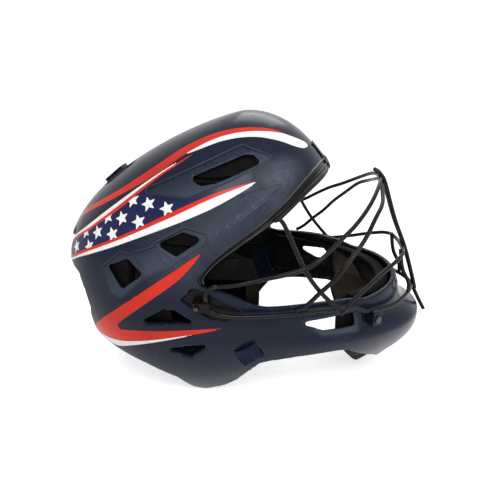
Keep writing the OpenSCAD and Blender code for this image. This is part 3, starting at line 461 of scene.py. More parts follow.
class Sheet:
    """Triangles over the form, which split where an outline crosses them."""

    def __init__(self, points, triangles):
        self.points = points
        self.triangles = triangles
        self.fields = {}

    def edges(self):
        t = self.triangles
        pairs = np.sort(np.concatenate([t[:, [0, 1]], t[:, [1, 2]], t[:, [2, 0]]]), axis=1)
        keys, place = np.unique(pairs[:, 0] * len(self.points) + pairs[:, 1], return_inverse=True)
        ends = np.stack([keys // len(self.points), keys % len(self.points)], axis=1)
        return ends, place.reshape(3, -1).T

    def split(self, ends, places, marked, share):
        """Cuts the marked edges at their shares."""
        count = len(self.points)
        number = np.full(len(ends), -1)
        number[marked] = count + np.arange(marked.sum())
        a, b, k = ends[marked, 0], ends[marked, 1], share[marked]
        self.points = np.concatenate([self.points, mix(self.points[a], self.points[b], k[:, None])])
        for name, value in self.fields.items():
            self.fields[name] = np.concatenate([value, mix(value[a], value[b], k)])
        new = number[places]
        cuts = (new >= 0).sum(axis=1)
        parts = [self.triangles[cuts == 0]]
        for turn in range(3):
            corners = np.hstack([np.roll(self.triangles, -turn, axis=1), np.roll(new, -turn, axis=1)])
            one = corners[(cuts == 1) & (corners[:, 3] >= 0)]
            two = corners[(cuts == 2) & (corners[:, 5] < 0)]
            parts += [one[:, taken] for taken in ONE_CUT] + [two[:, taken] for taken in TWO_CUTS]
        corners = np.hstack([self.triangles, new])[cuts == 3]
        parts += [corners[:, taken] for taken in THREE_CUTS]
        self.triangles = np.concatenate(parts)

    def refine(self, near):
        """Halves every edge that touches a marked point."""
        ends, places = self.edges()
        marked = near[ends].any(axis=1)
        self.split(ends, places, marked, np.full(len(ends), 0.5))

    def cut(self, name, level):
        """Splits the triangles along a level of a field."""
        value = self.fields[name] - level
        self.fields[name] = np.where(np.abs(value) < SNAP, level, self.fields[name])
        value = self.fields[name] - level
        ends, places = self.edges()
        a, b = value[ends[:, 0]], value[ends[:, 1]]
        marked = a * b < 0
        share = np.where(marked, a / np.where(marked, a - b, 1), 0.5)
        count = len(self.points)
        self.split(ends, places, marked, share)
        self.fields[name][count:] = level

    def add_distance(self, name, measure):
        """Adds a field of distances in the side view, made true to the surface's slope."""
        self.fields[name] = measure(self.points)
        steep = np.clip(self.steepness(name), STEEP_LEAST, 1.0)
        near = np.abs(self.fields[name]) < DISTANCE_USED
        self.fields[name] = self.fields[name] / np.where(near, steep, 1.0)

    def over(self, name):
        """Which triangles lie where a field is above 0."""
        return self.fields[name][self.triangles].mean(axis=1) > 0

    def keep(self, kept):
        self.triangles = self.triangles[kept]
        used = np.unique(self.triangles)
        number = np.full(len(self.points), -1)
        number[used] = np.arange(len(used))
        self.points = self.points[used]
        self.triangles = number[self.triangles]
        self.fields = {name: value[used] for name, value in self.fields.items()}

    def normals(self):
        p, t = self.points, self.triangles
        face = np.cross(p[t[:, 1]] - p[t[:, 0]], p[t[:, 2]] - p[t[:, 0]])
        out = np.zeros_like(p)
        for k in range(3):
            np.add.at(out, t[:, k], face)
        return unit(out)

    def steepness(self, name):
        """How fast a field changes over the surface, at each point."""
        p, t, f = self.points, self.triangles, self.fields[name]
        u, v = p[t[:, 1]] - p[t[:, 0]], p[t[:, 2]] - p[t[:, 0]]
        fu, fv = f[t[:, 1]] - f[t[:, 0]], f[t[:, 2]] - f[t[:, 0]]
        n = np.cross(u, v)
        area = np.maximum(np.einsum("ij,ij->i", n, n), 1e-12)
        slope = np.cross(n, u) * fv[:, None] + np.cross(v, n) * fu[:, None]
        size = np.linalg.norm(slope, axis=1) / area
        weight = np.sqrt(area)
        total, share = np.zeros(len(p)), np.zeros(len(p))
        for k in range(3):
            np.add.at(total, t[:, k], size * weight)
            np.add.at(share, t[:, k], weight)
        return total / np.maximum(share, 1e-12)


# Painted stripes, stars and chevron

LAYOUT_TILT = math.radians(25)


def layout(p):
    """Where a point lies in the paint's layout: x from the crown's top, and up the helmet's side."""
    up = p[:, 2] * math.cos(LAYOUT_TILT) - np.abs(p[:, 1]) * math.sin(LAYOUT_TILT)
    return np.stack([p[:, 0] - APEX, up], axis=1)


def painted(*edges):
    """Closed outline of smooth edges that meet in sharp corners."""
    return np.concatenate([spline(edge, 4) for edge in edges])


RED = [
    painted(
        [(-150, 124.5), (-132.5, 132.7), (-120.2, 136.5), (-99.9, 144.7), (-82.5, 154.9), (-66.3, 165.8),
         (-50.9, 177.7), (-35.2, 186.9), (-19.3, 193.7), (-3.3, 197.6), (12.8, 198.9),
         (25, 198.4), (33.4, 195.8)],
        [(27.6, 196), (13.1, 195.2), (-2.8, 192.8), (-18.5, 188), (-34, 179.9), (-49.2, 169.5),
         (-64.5, 157.4), (-80.8, 147.6), (-98.3, 139.2), (-118.4, 131.6), (-143.7, 125)]),
    painted(
        [(-172, 95.5), (-148.8, 104.6), (-137.5, 109), (-125.3, 113.5), (-105.5, 125.1), (-88.1, 137.2),
         (-72, 149.5), (-56.4, 160.8), (-41, 171), (-36.9, 173.1)],
        [(-48.4, 164.3), (-63.8, 153.2), (-79.4, 140.5), (-96, 127.5), (-114.5, 116.9), (-124.8, 111.3),
         (-137, 106.6), (-148, 103), (-172, 93.5)]),
    painted(
        [(-172, 85.5), (-146.8, 90.8), (-123.2, 96.5), (-102.9, 102.1), (-85, 108.6), (-68.4, 115.9),
         (-52.6, 123.3), (-37.2, 130.7), (-22.1, 137.6), (-7, 143.6), (8, 148.6), (13.6, 150.5)],
        [(0.6, 144.4), (-14.4, 137.8), (-29.4, 130.8), (-44.7, 123.1), (-60.3, 116.1), (-76.5, 109.2),
         (-93.7, 102.6), (-112.5, 96.7), (-135.1, 91), (-146.1, 88.6), (-172, 83.5)]),
    painted(
        [(-26.9, 94), (-43.9, 82.2), (-68.9, 66.1), (-96.7, 49.3), (-119.5, 36.7), (-126.5, 32.5),
         (-130.3, 28.2), (-129.2, 24.9), (-121.9, 22), (-114.6, 20.1), (-105.1, 18.9),
         (-94.7, 19.1), (-72.8, 21.7), (-47.6, 26.3), (-23.6, 31.3), (-11.5, 35.1)],
        [(-29.3, 33.1), (-53.1, 30.9), (-77.7, 29.6), (-97.9, 29.3), (-101.2, 30), (-102.6, 32.2),
         (-101.6, 34.4), (-98.3, 36.8), (-78.7, 49.4), (-60.8, 61.2), (-46.5, 71.5),
         (-37.2, 80.7), (-29, 90.5)]),
]
WHITE = [
    painted(
        [(-44.6, 172.3), (-33.5, 176.6), (-18, 183.4), (-2.3, 187.6), (13.5, 189), (29.6, 187.5),
         (41, 185.2), (48, 185.2), (51.5, 187.5), (52.7, 190), (51, 192.8), (46, 194),
         (37.4, 195.2), (31, 196.4)],
        [(21, 197.4), (13.1, 196.8), (-2.8, 194.6), (-18.5, 190), (-34, 182), (-43, 175.5)]),
    painted(
        [(-172, 97.5), (-149.7, 106.4), (-138.1, 110.9), (-126, 116.7), (-106.2, 128.6), (-88.7, 140.2),
         (-72.3, 151.3), (-56.6, 161.9), (-50.3, 165.7)],
        [(-56.2, 160), (-71.8, 148.4), (-87.8, 135.9), (-105.2, 124), (-124.9, 112.2), (-137.1, 107.8),
         (-148.2, 103.9), (-172, 94.5)]),
    painted(
        [(-172, 80.5), (-145.8, 87), (-123, 91.1), (-102.7, 95.9), (-84.8, 101.4), (-68.1, 107.1),
         (-52.2, 113), (-36.7, 119.4), (-21.5, 126.5), (-6.6, 135.2), (8.1, 145.4),
         (13.6, 150.5)],
        [(-7, 142.2), (-22, 135.9), (-37.1, 128.8), (-68.3, 114.3), (-102.8, 101), (-146.7, 89.8),
         (-172, 84.5)]),
    painted(
        [(-129.8, 25.5), (-124.4, 20.2), (-118.1, 16.7), (-111.9, 14.4), (-105.5, 13.6), (-95.9, 14.9),
         (-73.2, 19.3), (-47.7, 25.2), (-36, 28.6)],
        [(-47.4, 27.8), (-72.4, 23.8), (-94.1, 21.2), (-113.4, 22.5)]),
]
STAR_PANEL = [painted(
    [(-172, 95.5), (-150.9, 104), (-137.1, 107.6), (-124.9, 112.2), (-105.1, 123.2), (-87.7, 135.2),
     (-80.4, 141)],
    [(-75.9, 140.8), (-71.3, 139.4), (-61.5, 134.7), (-51.5, 132.8), (-40.5, 133.4), (-31.3, 137),
     (-17, 141.6)],
    [(-22, 136.5), (-37.1, 129), (-52.5, 121.8), (-68.3, 114.5), (-85, 107.4), (-102.8, 101.2),
     (-123.1, 95.4), (-147.7, 90.2), (-172, 84.7)],
)]
STAR_CENTRES = [
    (-140.5, 97.9), (-124, 97.2), (-129.5, 109.8), (-115.9, 108.7), (-107, 121), (-101, 106.9),
    (-93.1, 119.5), (-85, 133.8), (-78, 116.4), (-70.8, 130.5), (-55.3, 126.7),
]
STAR_POINTS = 5
STAR_RADIUS = 6.6
STAR_WAIST = 0.43
STAR_TURN = 38.0
STAR_STEP = 0.5
SIDE_LOWEST = 20.0
SIDE_STEPS = 30
FAR_OFF = 40.0
PAINT_MARGIN = 10.0


def on_side(u, w):
    """The point of the face that lies at a place of the layout, on the side where Y is above 0."""
    low, high = SIDE_LOWEST, CROWN
    for _ in range(SIDE_STEPS):
        z = (low + high) / 2
        point = np.array([[APEX + u, float(side_y(APEX + u, z)), z]])
        low, high = (z, high) if layout(point)[0, 1] < w else (low, z)
    return point[0]


def star(centre):
    """Outline of a five-pointed star that lies flat on the face."""
    middle = on_side(*centre)
    ahead = unit(on_side(centre[0] + STAR_STEP, centre[1]) - middle)
    up = on_side(centre[0], centre[1] + STAR_STEP) - middle
    up = unit(up - ahead * (up @ ahead))
    out = []
    for k in range(2 * STAR_POINTS):
        a = math.radians(STAR_TURN + 180 / STAR_POINTS * k)
        r = STAR_RADIUS * (1 if k % 2 == 0 else STAR_WAIST)
        out.append(middle + r * (math.cos(a) * ahead + math.sin(a) * up))
    return layout(np.array(out))


PAINT = {"star_panel": STAR_PANEL, "stars": [star(c) for c in STAR_CENTRES], "white": WHITE, "red": RED}


def paint_inside(p, outlines):
    """Distance inside the nearest painted outline, below 0 outside it."""
    flat = layout(p)
    inside = np.full(len(p), -FAR_OFF)
    for outline in outlines:
        low, high = outline.min(axis=0) - PAINT_MARGIN, outline.max(axis=0) + PAINT_MARGIN
        near = ((flat > low) & (flat < high)).all(axis=1)
        if near.any():
            inside[near] = np.maximum(inside[near], -outline_distance(flat[near], outline))
    return inside


# Meshes


def linked(name, data):
    """A new object in the scene."""
    obj = bpy.data.objects.new(name, data)
    bpy.context.scene.collection.objects.link(obj)
    return obj


def add_mesh(name, points, faces, material_of=None, materials=()):
    """A smooth mesh object from points in millimetres."""
    mesh = bpy.data.meshes.new(name)
    mesh.from_pydata((np.asarray(points) * MM).tolist(), [], [list(map(int, f)) for f in faces])
    mesh.update()
    mesh.shade_smooth()
    for m in materials:
        mesh.materials.append(m)
    if material_of is not None:
        mesh.polygons.foreach_set("material_index", np.asarray(material_of, np.int32))
    return linked(name, mesh)


def edit_mesh(mesh, change):
    """Runs a change on the mesh in its editable form."""
    work = bmesh.new()
    work.from_mesh(mesh)
    change(work)
    work.to_mesh(mesh)
    work.free()


def face_outward(mesh):
    edit_mesh(mesh, lambda work: bmesh.ops.recalc_face_normals(work, faces=work.faces))


def points_of(mesh):
    """The mesh's points in metres."""
    at = np.zeros(len(mesh.vertices) * 3, np.float32)
    mesh.vertices.foreach_get("co", at)
    return at.reshape(-1, 3)


def bake(obj, name):
    """The object's evaluated shape as a plain mesh object."""
    graph = bpy.context.evaluated_depsgraph_get()
    shape = obj.evaluated_get(graph)
    mesh = bpy.data.meshes.new_from_object(shape, preserve_all_data_layers=True, depsgraph=graph)
    mesh.name = name
    bpy.data.objects.remove(obj)
    return linked(name, mesh)


def add_field(obj, name, values):
    obj.data.attributes.new(name, "FLOAT", "POINT").data.foreach_set("value", np.asarray(values, np.float32))


def both_sides(half):
    half = np.asarray(half, float)
    return np.concatenate([half[:0:-1] * [1, -1, 1], half])


def ring_faces(count, sides):
    """Faces that join each ring of points to the next one."""
    i, k = np.meshgrid(np.arange(count - 1), np.arange(sides), indexing="ij")
    j = (k + 1) % sides
    quads = np.stack([i * sides + k, i * sides + j, (i + 1) * sides + j, (i + 1) * sides + k], axis=-1)
    return quads.reshape(-1, 4).tolist()


def sweep(path, profile, wide=1.0, high=1.0):
    """Rings of a profile along a path, as points and faces.

    The profile gives how far each of its points lies across the way and away from the head.
    """
    tangent = unit(np.gradient(path, axis=0))
    across = unit(np.cross(tangent, path - HEAD))
    away = np.cross(across, tangent)
    wide, high = (np.broadcast_to(size, len(path))[:, None, None] for size in (wide, high))
    rings = path[:, None] + wide * across[:, None] * profile[None, :, 0, None]
    rings = rings + high * away[:, None] * profile[None, :, 1, None]
    count, sides = len(path), len(profile)
    points = np.concatenate([rings.reshape(-1, 3), path[:1], path[-1:]])
    last = (count - 1) * sides
    faces = ring_faces(count, sides)
    faces += [[count * sides, (k + 1) % sides, k] for k in range(sides)]
    faces += [[count * sides + 1, last + k, last + (k + 1) % sides] for k in range(sides)]
    return points, faces


# The shell

DOME_ARC = 185.0
FRONT_ARC = 165.0
REAR_ARC = 170.0
RECESS_MOST = 2.7
FLOOR_GAIN = 2.4
LIP = 1.1
BARE_INSIDE = ((-4.0, 31.0), (30.0, 84.0))
EDGE_LOST = 0.55
STARS_REFINED = 0.12
INSIDE_SHARE = 0.43
REFINED = (0.5, 0.25)
INSIDE_MARGIN = 1.5
FLOOR_FADE = 0.75
# Where the painted sheen lies in the side view: a patch beside the brow, and a weaker band along the side
BROW_SHEEN = ((30.0, 204.0), (27.0, 17.0))
SIDE_SHEEN = (((16.0, 190.0), (-48.0, 146.0)), 42.0, 0.3)
INNER_ROUND = 0.9
EDGE_CUTS = (0.2, 1.0)
OVERHANG_CELLS = 2


class HelmetShell(bpy.types.PropertyGroup):
    cell: FloatProperty(
        name="Cell", description="Spacing of the shell's mesh", default=6.0 * MM, min=3 * MM, max=8 * MM,
        unit="LENGTH")
    edge_round: FloatProperty(
        name="Edge rounding", description="Radius of the moulded edges", default=1.3 * MM, min=0.4 * MM,
        max=2 * MM, unit="LENGTH")
    recess_share: FloatProperty(
        name="Recess depth", description="Share of the recesses' full depth", default=1.0, min=0, max=1,
        subtype="FACTOR")
    recess_wall: FloatProperty(
        name="Recess wall", description="Width of the recesses' sloping walls", default=1.3 * MM,
        min=0.8 * MM, max=4 * MM, unit="LENGTH")


def form_grid(cell):
    """Triangles over the whole outer form."""
    dome = int(round(DOME_ARC / cell))
    low = int(round((WIDEST - FORM_BOTTOM) / cell))
    heights = [WIDEST + (CROWN - WIDEST) * math.cos(math.pi / 2 * i / dome) for i in range(1, dome + 1)]
    heights += [WIDEST + (FORM_BOTTOM - WIDEST) * i / low for i in range(1, low + 1)]
    ahead, behind = int(round(FRONT_ARC / cell)), int(round(REAR_ARC / cell))
    rings = [ring(z, ahead, behind) for z in heights]
    count = len(rings[0])
    points = np.concatenate([[[APEX, 0, CROWN]]] + rings)
    k = np.arange(count)
    j = (k + 1) % count
    triangles = [np.stack([np.zeros_like(k), 1 + k, 1 + j], axis=1)]
    for first in range(1, 1 + (len(rings) - 1) * count, count):
        a, b, c, d = first + k, first + j, first + count + j, first + count + k
        triangles += [np.stack([a, d, c], axis=1), np.stack([a, c, b], axis=1)]
    return Sheet(points, np.concatenate(triangles))


def fillet(left, radius):
    """How far a rounded edge falls away at a distance from the edge."""
    k = np.clip(left, 0, radius)
    return radius - np.sqrt(np.maximum(radius ** 2 - (radius - k) ** 2, 0))


def near_lines(p, reach, wall):
    """Whether a point lies near an opening's edge, a recess's wall or the edge of a painted field."""
    near = np.abs(material_left(p)) < reach
    for recess in RECESSES:
        near |= np.abs(recess.inside(p) - wall / 2) < wall / 2 + reach / 2
    for outlines in PAINT.values():
        near |= np.abs(paint_inside(p, outlines)) < reach
    return near


def shell_sheet(sizes):
    """The shell's outer face, cut to its openings, with the fields that shape it."""
    cell = sizes.cell / MM
    radius = sizes.edge_round / MM
    wall = sizes.recess_wall / MM
    sheet = form_grid(cell)
    left = material_left(sheet.points)
    sheet.keep((left[sheet.triangles] > -OVERHANG_CELLS * cell).any(axis=1))
    for share in REFINED:
        sheet.refine(near_lines(sheet.points, cell * share, wall))
    sheet.refine(np.abs(paint_inside(sheet.points, PAINT["stars"])) < cell * STARS_REFINED)
    sheet.add_distance("left", material_left)
    sheet.cut("left", 0.0)
    sheet.keep(sheet.over("left"))
    for share in EDGE_CUTS:
        sheet.cut("left", share * radius)
    for number, recess in enumerate(RECESSES):
        name = f"recess_{number}"
        sheet.add_distance(name, recess.inside)
        for level in (-LIP, 0.0, wall / 2, wall):
            sheet.cut(name, level)
    for name, outlines in PAINT.items():
        sheet.fields[name] = paint_inside(sheet.points, outlines)
        sheet.cut(name, 0.0)
    sheet.fields["lining"] = lining_start(sheet.points)
    sheet.cut("lining", 0.0)
    return sheet


def lining_start(p):
    """Above 0 where the inner face is lined in black, below 0 where it is left bare."""
    sides = [(low - at, at - high) for at, (low, high) in zip(side_view(p).T, BARE_INSIDE)]
    return np.maximum(np.maximum(*sides[0]), np.maximum(*sides[1]))


def recess_marks(sheet, wall):
    """How much of a recess's floor, of its wall and of the lip round it lies at each point. The floor's
    share, largest at the recess's lower side, carries dust with painted light; the wall's carries painted
    shade and the lip's a painted highlight.
    """
    floor, side, lip = (np.zeros(len(sheet.points)) for _ in range(3))
    for number, recess in enumerate(RECESSES):
        inside = sheet.fields[f"recess_{number}"]
        share, deep = smooth(inside / wall), recess.depth(sheet.points) / RECESS_MOST
        # Painted light on the floor, strongest at its lower side and fading towards the upper one
        lit = 1 - FLOOR_FADE * recess.way_up(sheet.points)
        floor = np.maximum(floor, share * lit * np.minimum(1, deep * FLOOR_GAIN))
        side = np.maximum(side, 4 * share * (1 - share) * deep)
        # Painted highlight along each recess's rim, strongest where the recess is deepest
        lip = np.maximum(lip, np.clip(1 - np.abs(inside) / LIP, 0, 1) * deep)
    return floor, np.minimum(side, 1), lip * (1 - floor)


def painted_sheen(p):
    """How much painted sheen lightens the paint where light falls, most beside the brow and less along the
    side; a little of it shows as rubbed wear.
    """
    flat = side_view(p)
    brow = smooth(1 - np.hypot(*((flat - BROW_SHEEN[0]) / BROW_SHEEN[1]).T))
    a, b = np.array(SIDE_SHEEN[0], float)
    along = np.clip((flat - a) @ (b - a) / ((b - a) @ (b - a)), 0, 1)
    off = np.linalg.norm(flat - a - along[:, None] * (b - a), axis=1)
    return np.maximum(brow, SIDE_SHEEN[2] * smooth(1 - off / SIDE_SHEEN[1]))


def recess_depth(sheet, wall):
    """How far the recesses press the face in, at each point."""
    depth = np.zeros(len(sheet.points))
    for number, recess in enumerate(RECESSES):
        share = smooth(sheet.fields[f"recess_{number}"] / wall)
        depth = np.maximum(depth, share * recess.depth(sheet.points))
    return depth


def thinned_inside(obj, first, kept):
    """The shell with fewer triangles on its inner face, whose points start at a number."""
    group = obj.vertex_groups.new(name="inner_face")
    group.add((first + np.flatnonzero(~kept)).tolist(), 1.0, "REPLACE")
    rule = obj.modifiers.new("thin", "DECIMATE")
    rule.ratio = (1 + INSIDE_SHARE) / 2
    rule.vertex_group = group.name
    name = obj.name
    obj.name = name + "_full"
    return bake(obj, name)


def edge_loops(triangles, count):
    """Directed edges that only one triangle has."""
    t = triangles
    edges = np.concatenate([t[:, [0, 1]], t[:, [1, 2]], t[:, [2, 0]]])
    keys = edges[:, 0].astype(np.int64) * count + edges[:, 1]
    back = edges[:, 1].astype(np.int64) * count + edges[:, 0]
    return edges[~np.isin(keys, back)]


SHELL_COATS = (
    "navy_shell", "star_paint", "white_paint", "white_paint", "red_paint", "shell_inside", "shell_lining",
)


class HELMET_OT_shell(bpy.types.Operator):
    """Moulded shell with its vents, recesses and painted stripes"""
    bl_idname = "helmet.shell"
    bl_label = "Shell"

    def execute(self, context):
        sizes = context.scene.helmet_shell
        sheet = shell_sheet(sizes)
        normal = sheet.normals()
        side = np.sign(normal[:, 0] * (sheet.points[:, 0] - HEAD[0]) + normal[:, 1] * sheet.points[:, 1])
        if np.median(side) < 0:
            sheet.triangles = sheet.triangles[:, ::-1]
            normal = -normal
        radius, wall = sizes.edge_round / MM, sizes.recess_wall / MM
        left = sheet.fields["left"]
        recess = recess_depth(sheet, wall) * sizes.recess_share
        depth = recess + fillet(left, radius) * (1 - EDGE_LOST * recess / RECESS_MOST)
        outer = sheet.points - normal * depth[:, None]
        inner = sheet.points - normal * (WALL - fillet(left, INNER_ROUND))[:, None]
        count = len(outer)
        loops = edge_loops(sheet.triangles, count)
        rim = np.stack([loops[:, 0], loops[:, 0] + count, loops[:, 1] + count, loops[:, 1]], axis=1)
        faces = sheet.triangles.tolist() + (sheet.triangles[:, ::-1] + count).tolist() + rim.tolist()
        paint = np.zeros(len(sheet.triangles), int)
        for index, name in enumerate(PAINT, 1):
            paint[sheet.over(name)] = index
        stars = list(PAINT).index("stars") + 1
        paint[(paint == stars) & ~sheet.over("star_panel")] = 0
        inside = len(PAINT) + 1
        region = np.concatenate([paint, inside + sheet.over("lining"), np.full(len(rim), inside)])
        coats = [finish(name) for name in SHELL_COATS]
        obj = add_mesh("shell", np.concatenate([outer, inner]), faces, region, coats)
        add_field(obj, "rim", np.concatenate([left, left]))
        for name, values in zip(("floor", "side", "lip"), recess_marks(sheet, wall)):
            add_field(obj, name, np.concatenate([values, values * 0]))
        # Painted sheen on the outer face only
        pale = painted_sheen(sheet.points)
        add_field(obj, "pale", np.concatenate([pale, pale * 0]))
        kept = (left < INSIDE_MARGIN) | (np.abs(sheet.fields["lining"]) < INSIDE_MARGIN)
        obj = thinned_inside(obj, count, kept)
        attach(obj, HELMET)
        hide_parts("outer_shell")
        return {"FINISHED"}


# Finishes

FINISHES = {}
GROUPS_MADE = {}
HAIRLINES = (
    ((0.0, 0.5, 0.2), (9.0, 120.0, 120.0)), ((0.1, 0.2, 0.9), (100.0, 90.0, 8.0)),
    ((0.4, 1.1, 0.5), (12.0, 80.0, 70.0)),
)
GRIME = (0.05, 0.045, 0.04)
RECESS_SHADE = (0.002, 0.0028, 0.006)
BARE_STEEL = (0.16, 0.15, 0.14)
RUST_TONES = ((0.1, 0.04, 0.02), (0.035, 0.018, 0.013))
CREASE_SHADE = (0.006, 0.005, 0.005)
RIB_PITCH = 0.0017
TWILL_PITCH = (0.0013, 0.0034)


class Nodes:
    """Short calls that build a shader tree."""

    def __init__(self, tree):
        self.tree = tree

    def add(self, kind, **settings):
        node = self.tree.nodes.new("ShaderNode" + kind)
        for name, value in settings.items():
            setattr(node, name, value)
        return node

    def put(self, socket, value):
        """Links an output to a socket, or sets the socket's own value."""
        if isinstance(value, bpy.types.NodeSocket):
            self.tree.links.new(value, socket)
        elif isinstance(value, tuple) and len(value) == 3 and socket.type == "RGBA":
            socket.default_value = (*value, 1.0)
        else:
            socket.default_value = value

    def math(self, operation, a, b=0.0, clamp=False):
        node = self.add("Math", operation=operation, use_clamp=clamp)
        self.put(node.inputs[0], a)
        self.put(node.inputs[1], b)
        return node.outputs[0]

    def times(self, a, b, clamp=False):
        return self.math("MULTIPLY", a, b, clamp)

    def plus(self, a, b):
        return self.math("ADD", a, b)

    def minus(self, a, b):
        return self.math("SUBTRACT", a, b)

    def total(self, *parts):
        """The sum of values that each have a share."""
        out = self.times(*parts[0])
        for value, share in parts[1:]:
            out = self.plus(out, self.times(value, share))
        return out

    def stretched(self, vector, scale, turn):
        node = self.add("Mapping")
        self.put(node.inputs["Vector"], vector)
        node.inputs["Scale"].default_value = scale
        node.inputs["Rotation"].default_value = turn
        return node.outputs[0]

    def noise(self, vector, scale, detail, rough):
        node = self.add("TexNoise")
        self.put(node.inputs["Vector"], vector)
        for name, value in (("Scale", scale), ("Detail", detail), ("Roughness", rough)):
            node.inputs[name].default_value = value
        return node.outputs["Fac"]

    def cells(self, vector, scale, feature="F1"):
        node = self.add("TexVoronoi", feature=feature)
        self.put(node.inputs["Vector"], vector)
        node.inputs["Scale"].default_value = scale
        return node.outputs["Distance"]

    def between(self, value, low, high, first=0.0, last=1.0):
        """Rises smoothly from one value to another where the input passes from low to high."""
        node = self.add("MapRange", interpolation_type="SMOOTHSTEP")
        self.put(node.inputs["Value"], value)
        for name, number in (("From Min", low), ("From Max", high), ("To Min", first), ("To Max", last)):
            self.put(node.inputs[name], number)
        return node.outputs[0]

    def line(self, value, middle, width):
        """1 near a value of the input, falling to 0 away from it."""
        off = self.math("ABSOLUTE", self.minus(value, middle))
        return self.between(off, 0.0, width, 1.0, 0.0)

    def blend(self, share, a, b):
        node = self.add("Mix", data_type="RGBA")
        self.put(node.inputs[0], share)
        self.put(node.inputs[6], a)
        self.put(node.inputs[7], b)
        return node.outputs[2]


def grazed_paint(nodes, given):
    """Moulded and painted shell: fine ripple, hairline scratches, pale scuffs and chipped edges, with painted
    sheen, dust and painted light on the recess floors, painted shade on their walls and a painted highlight
    on their lips.
    """
    at = given["Vector"]
    patches = nodes.noise(at, 22.0, 3.0, 0.6)
    hairlines = 0.0
    for turn, scale in HAIRLINES:
        run = nodes.noise(nodes.stretched(at, scale, turn), 1.6, 0.0, 0.5)
        hairlines = nodes.plus(hairlines, nodes.line(run, 0.5, 0.005))
    hairlines = nodes.times(hairlines, nodes.between(patches, 0.5, 0.68), clamp=True)
    speckle = nodes.noise(at, 420.0, 5.0, 0.7)
    scuffs = nodes.times(nodes.between(speckle, 0.56, 0.66), nodes.between(patches, 0.56, 0.72))
    uneven = nodes.between(nodes.noise(at, 190.0, 4.0, 0.65), 0.4, 0.75, 2.2, -1.6)
    chips = nodes.between(nodes.plus(given["Edge"], uneven), 0.1, 0.5, 1.0, 0.0)
    # Painted sheen, speckled in like rubbed paint
    rubbed = nodes.times(nodes.between(speckle, 0.5, 0.72), given["Pale"])
    # Wear marks, with the painted highlight on the recess lips and the speckled painted sheen, all turned to
    # the worn colour
    wear_and_highlight_marks = nodes.total((hairlines, 0.45), (scuffs, 0.1), (chips, 0.22), (given["Lip"], 0.28), (rubbed, 0.5))
    wear_and_highlight_marks = nodes.times(wear_and_highlight_marks, given["Wear and highlight"], clamp=True)
    drift = nodes.noise(at, 9.0, 4.0, 0.6)
    shade = nodes.blend(nodes.between(drift, 0.35, 0.7), given["Base"], given["Shade"])
    grime = nodes.between(nodes.noise(at, 65.0, 6.0, 0.7), 0.5, 0.8, 0.0, 0.5)
    shade = nodes.blend(nodes.times(grime, given["Grime"], clamp=True), shade, GRIME)
    # Painted sheen: the paint turns paler in clouds where the sheen field lies
    cloudy = nodes.between(nodes.noise(at, 38.0, 6.0, 0.68), 0.3, 0.7, 0.45, 0.95)
    shade = nodes.blend(nodes.times(given["Pale"], cloudy), shade, given["Sheen"])
    # Dust with painted light on the recess floors
    dust_and_sheen = nodes.times(given["Floor"], nodes.between(patches, 0.3, 0.7, 0.62, 1.0))
    shade = nodes.blend(dust_and_sheen, shade, given["Dust"])
    shade = nodes.blend(nodes.times(given["Side"], 0.9, clamp=True), shade, RECESS_SHADE)
    hollow = nodes.math("MAXIMUM", given["Floor"], given["Side"])
    rough = nodes.plus(nodes.between(drift, 0.3, 0.75, 0.2, 0.33), nodes.times(wear_and_highlight_marks, 0.4))
    rough = nodes.plus(rough, nodes.times(hollow, 0.2))
    ripple = nodes.times(nodes.noise(at, 260.0, 2.0, 0.5), 0.35)
    height = nodes.minus(ripple, nodes.times(wear_and_highlight_marks, 0.6))
    return {"Color": nodes.blend(wear_and_highlight_marks, shade, given["Worn and highlight"]), "Roughness": rough, "Height": height}


def rusted_coat(nodes, given):
    """Black coating on steel, chipped and rusted round the welds."""
    at = given["Vector"]
    reach = nodes.between(given["Weld"], 1.5, 7.0, 0.2, 0.0)
    rust = nodes.between(nodes.plus(nodes.noise(at, 150.0, 5.0, 0.65), reach), 0.68, 0.82)
    rust = nodes.times(rust, given["Rust amount"], clamp=True)
    chips = nodes.between(nodes.noise(at, 330.0, 3.0, 0.6), 0.7, 0.74)
    chips = nodes.times(chips, nodes.between(nodes.noise(at, 40.0, 2.0, 0.5), 0.5, 0.65))
    tone = nodes.blend(nodes.between(nodes.noise(at, 500.0, 4.0, 0.7), 0.35, 0.65), *RUST_TONES)
    color = nodes.blend(rust, nodes.blend(chips, given["Coat"], BARE_STEEL), tone)
    matt = nodes.between(nodes.noise(at, 90.0, 3.0, 0.6), 0.3, 0.7, 0.22, 0.38)
    height = nodes.total((nodes.noise(at, 700.0, 3.0, 0.6), 0.3), (rust, 0.5))
    return {"Color": color, "Roughness": nodes.plus(matt, nodes.times(rust, 0.45)),
            "Height": nodes.minus(height, nodes.times(chips, 0.5))}


def stippled(nodes, given):
    """Moulded plastic or rubber: fine stipple, dull dust in patches and lit ridges."""
    at = given["Vector"]
    dust = nodes.between(nodes.noise(at, 70.0, 5.0, 0.65), 0.45, 0.75)
    color = nodes.blend(nodes.times(dust, 0.5), given["Base"], given["Dust"])
    lit = nodes.times(given["Ridge"], nodes.between(dust, 0.0, 1.0, 1.0, 0.55))
    return {"Color": nodes.blend(lit, color, given["Shine"]),
            "Roughness": nodes.plus(given["Gloss"], nodes.times(dust, 0.25)),
            "Height": nodes.noise(at, 900.0, 3.0, 0.6)}


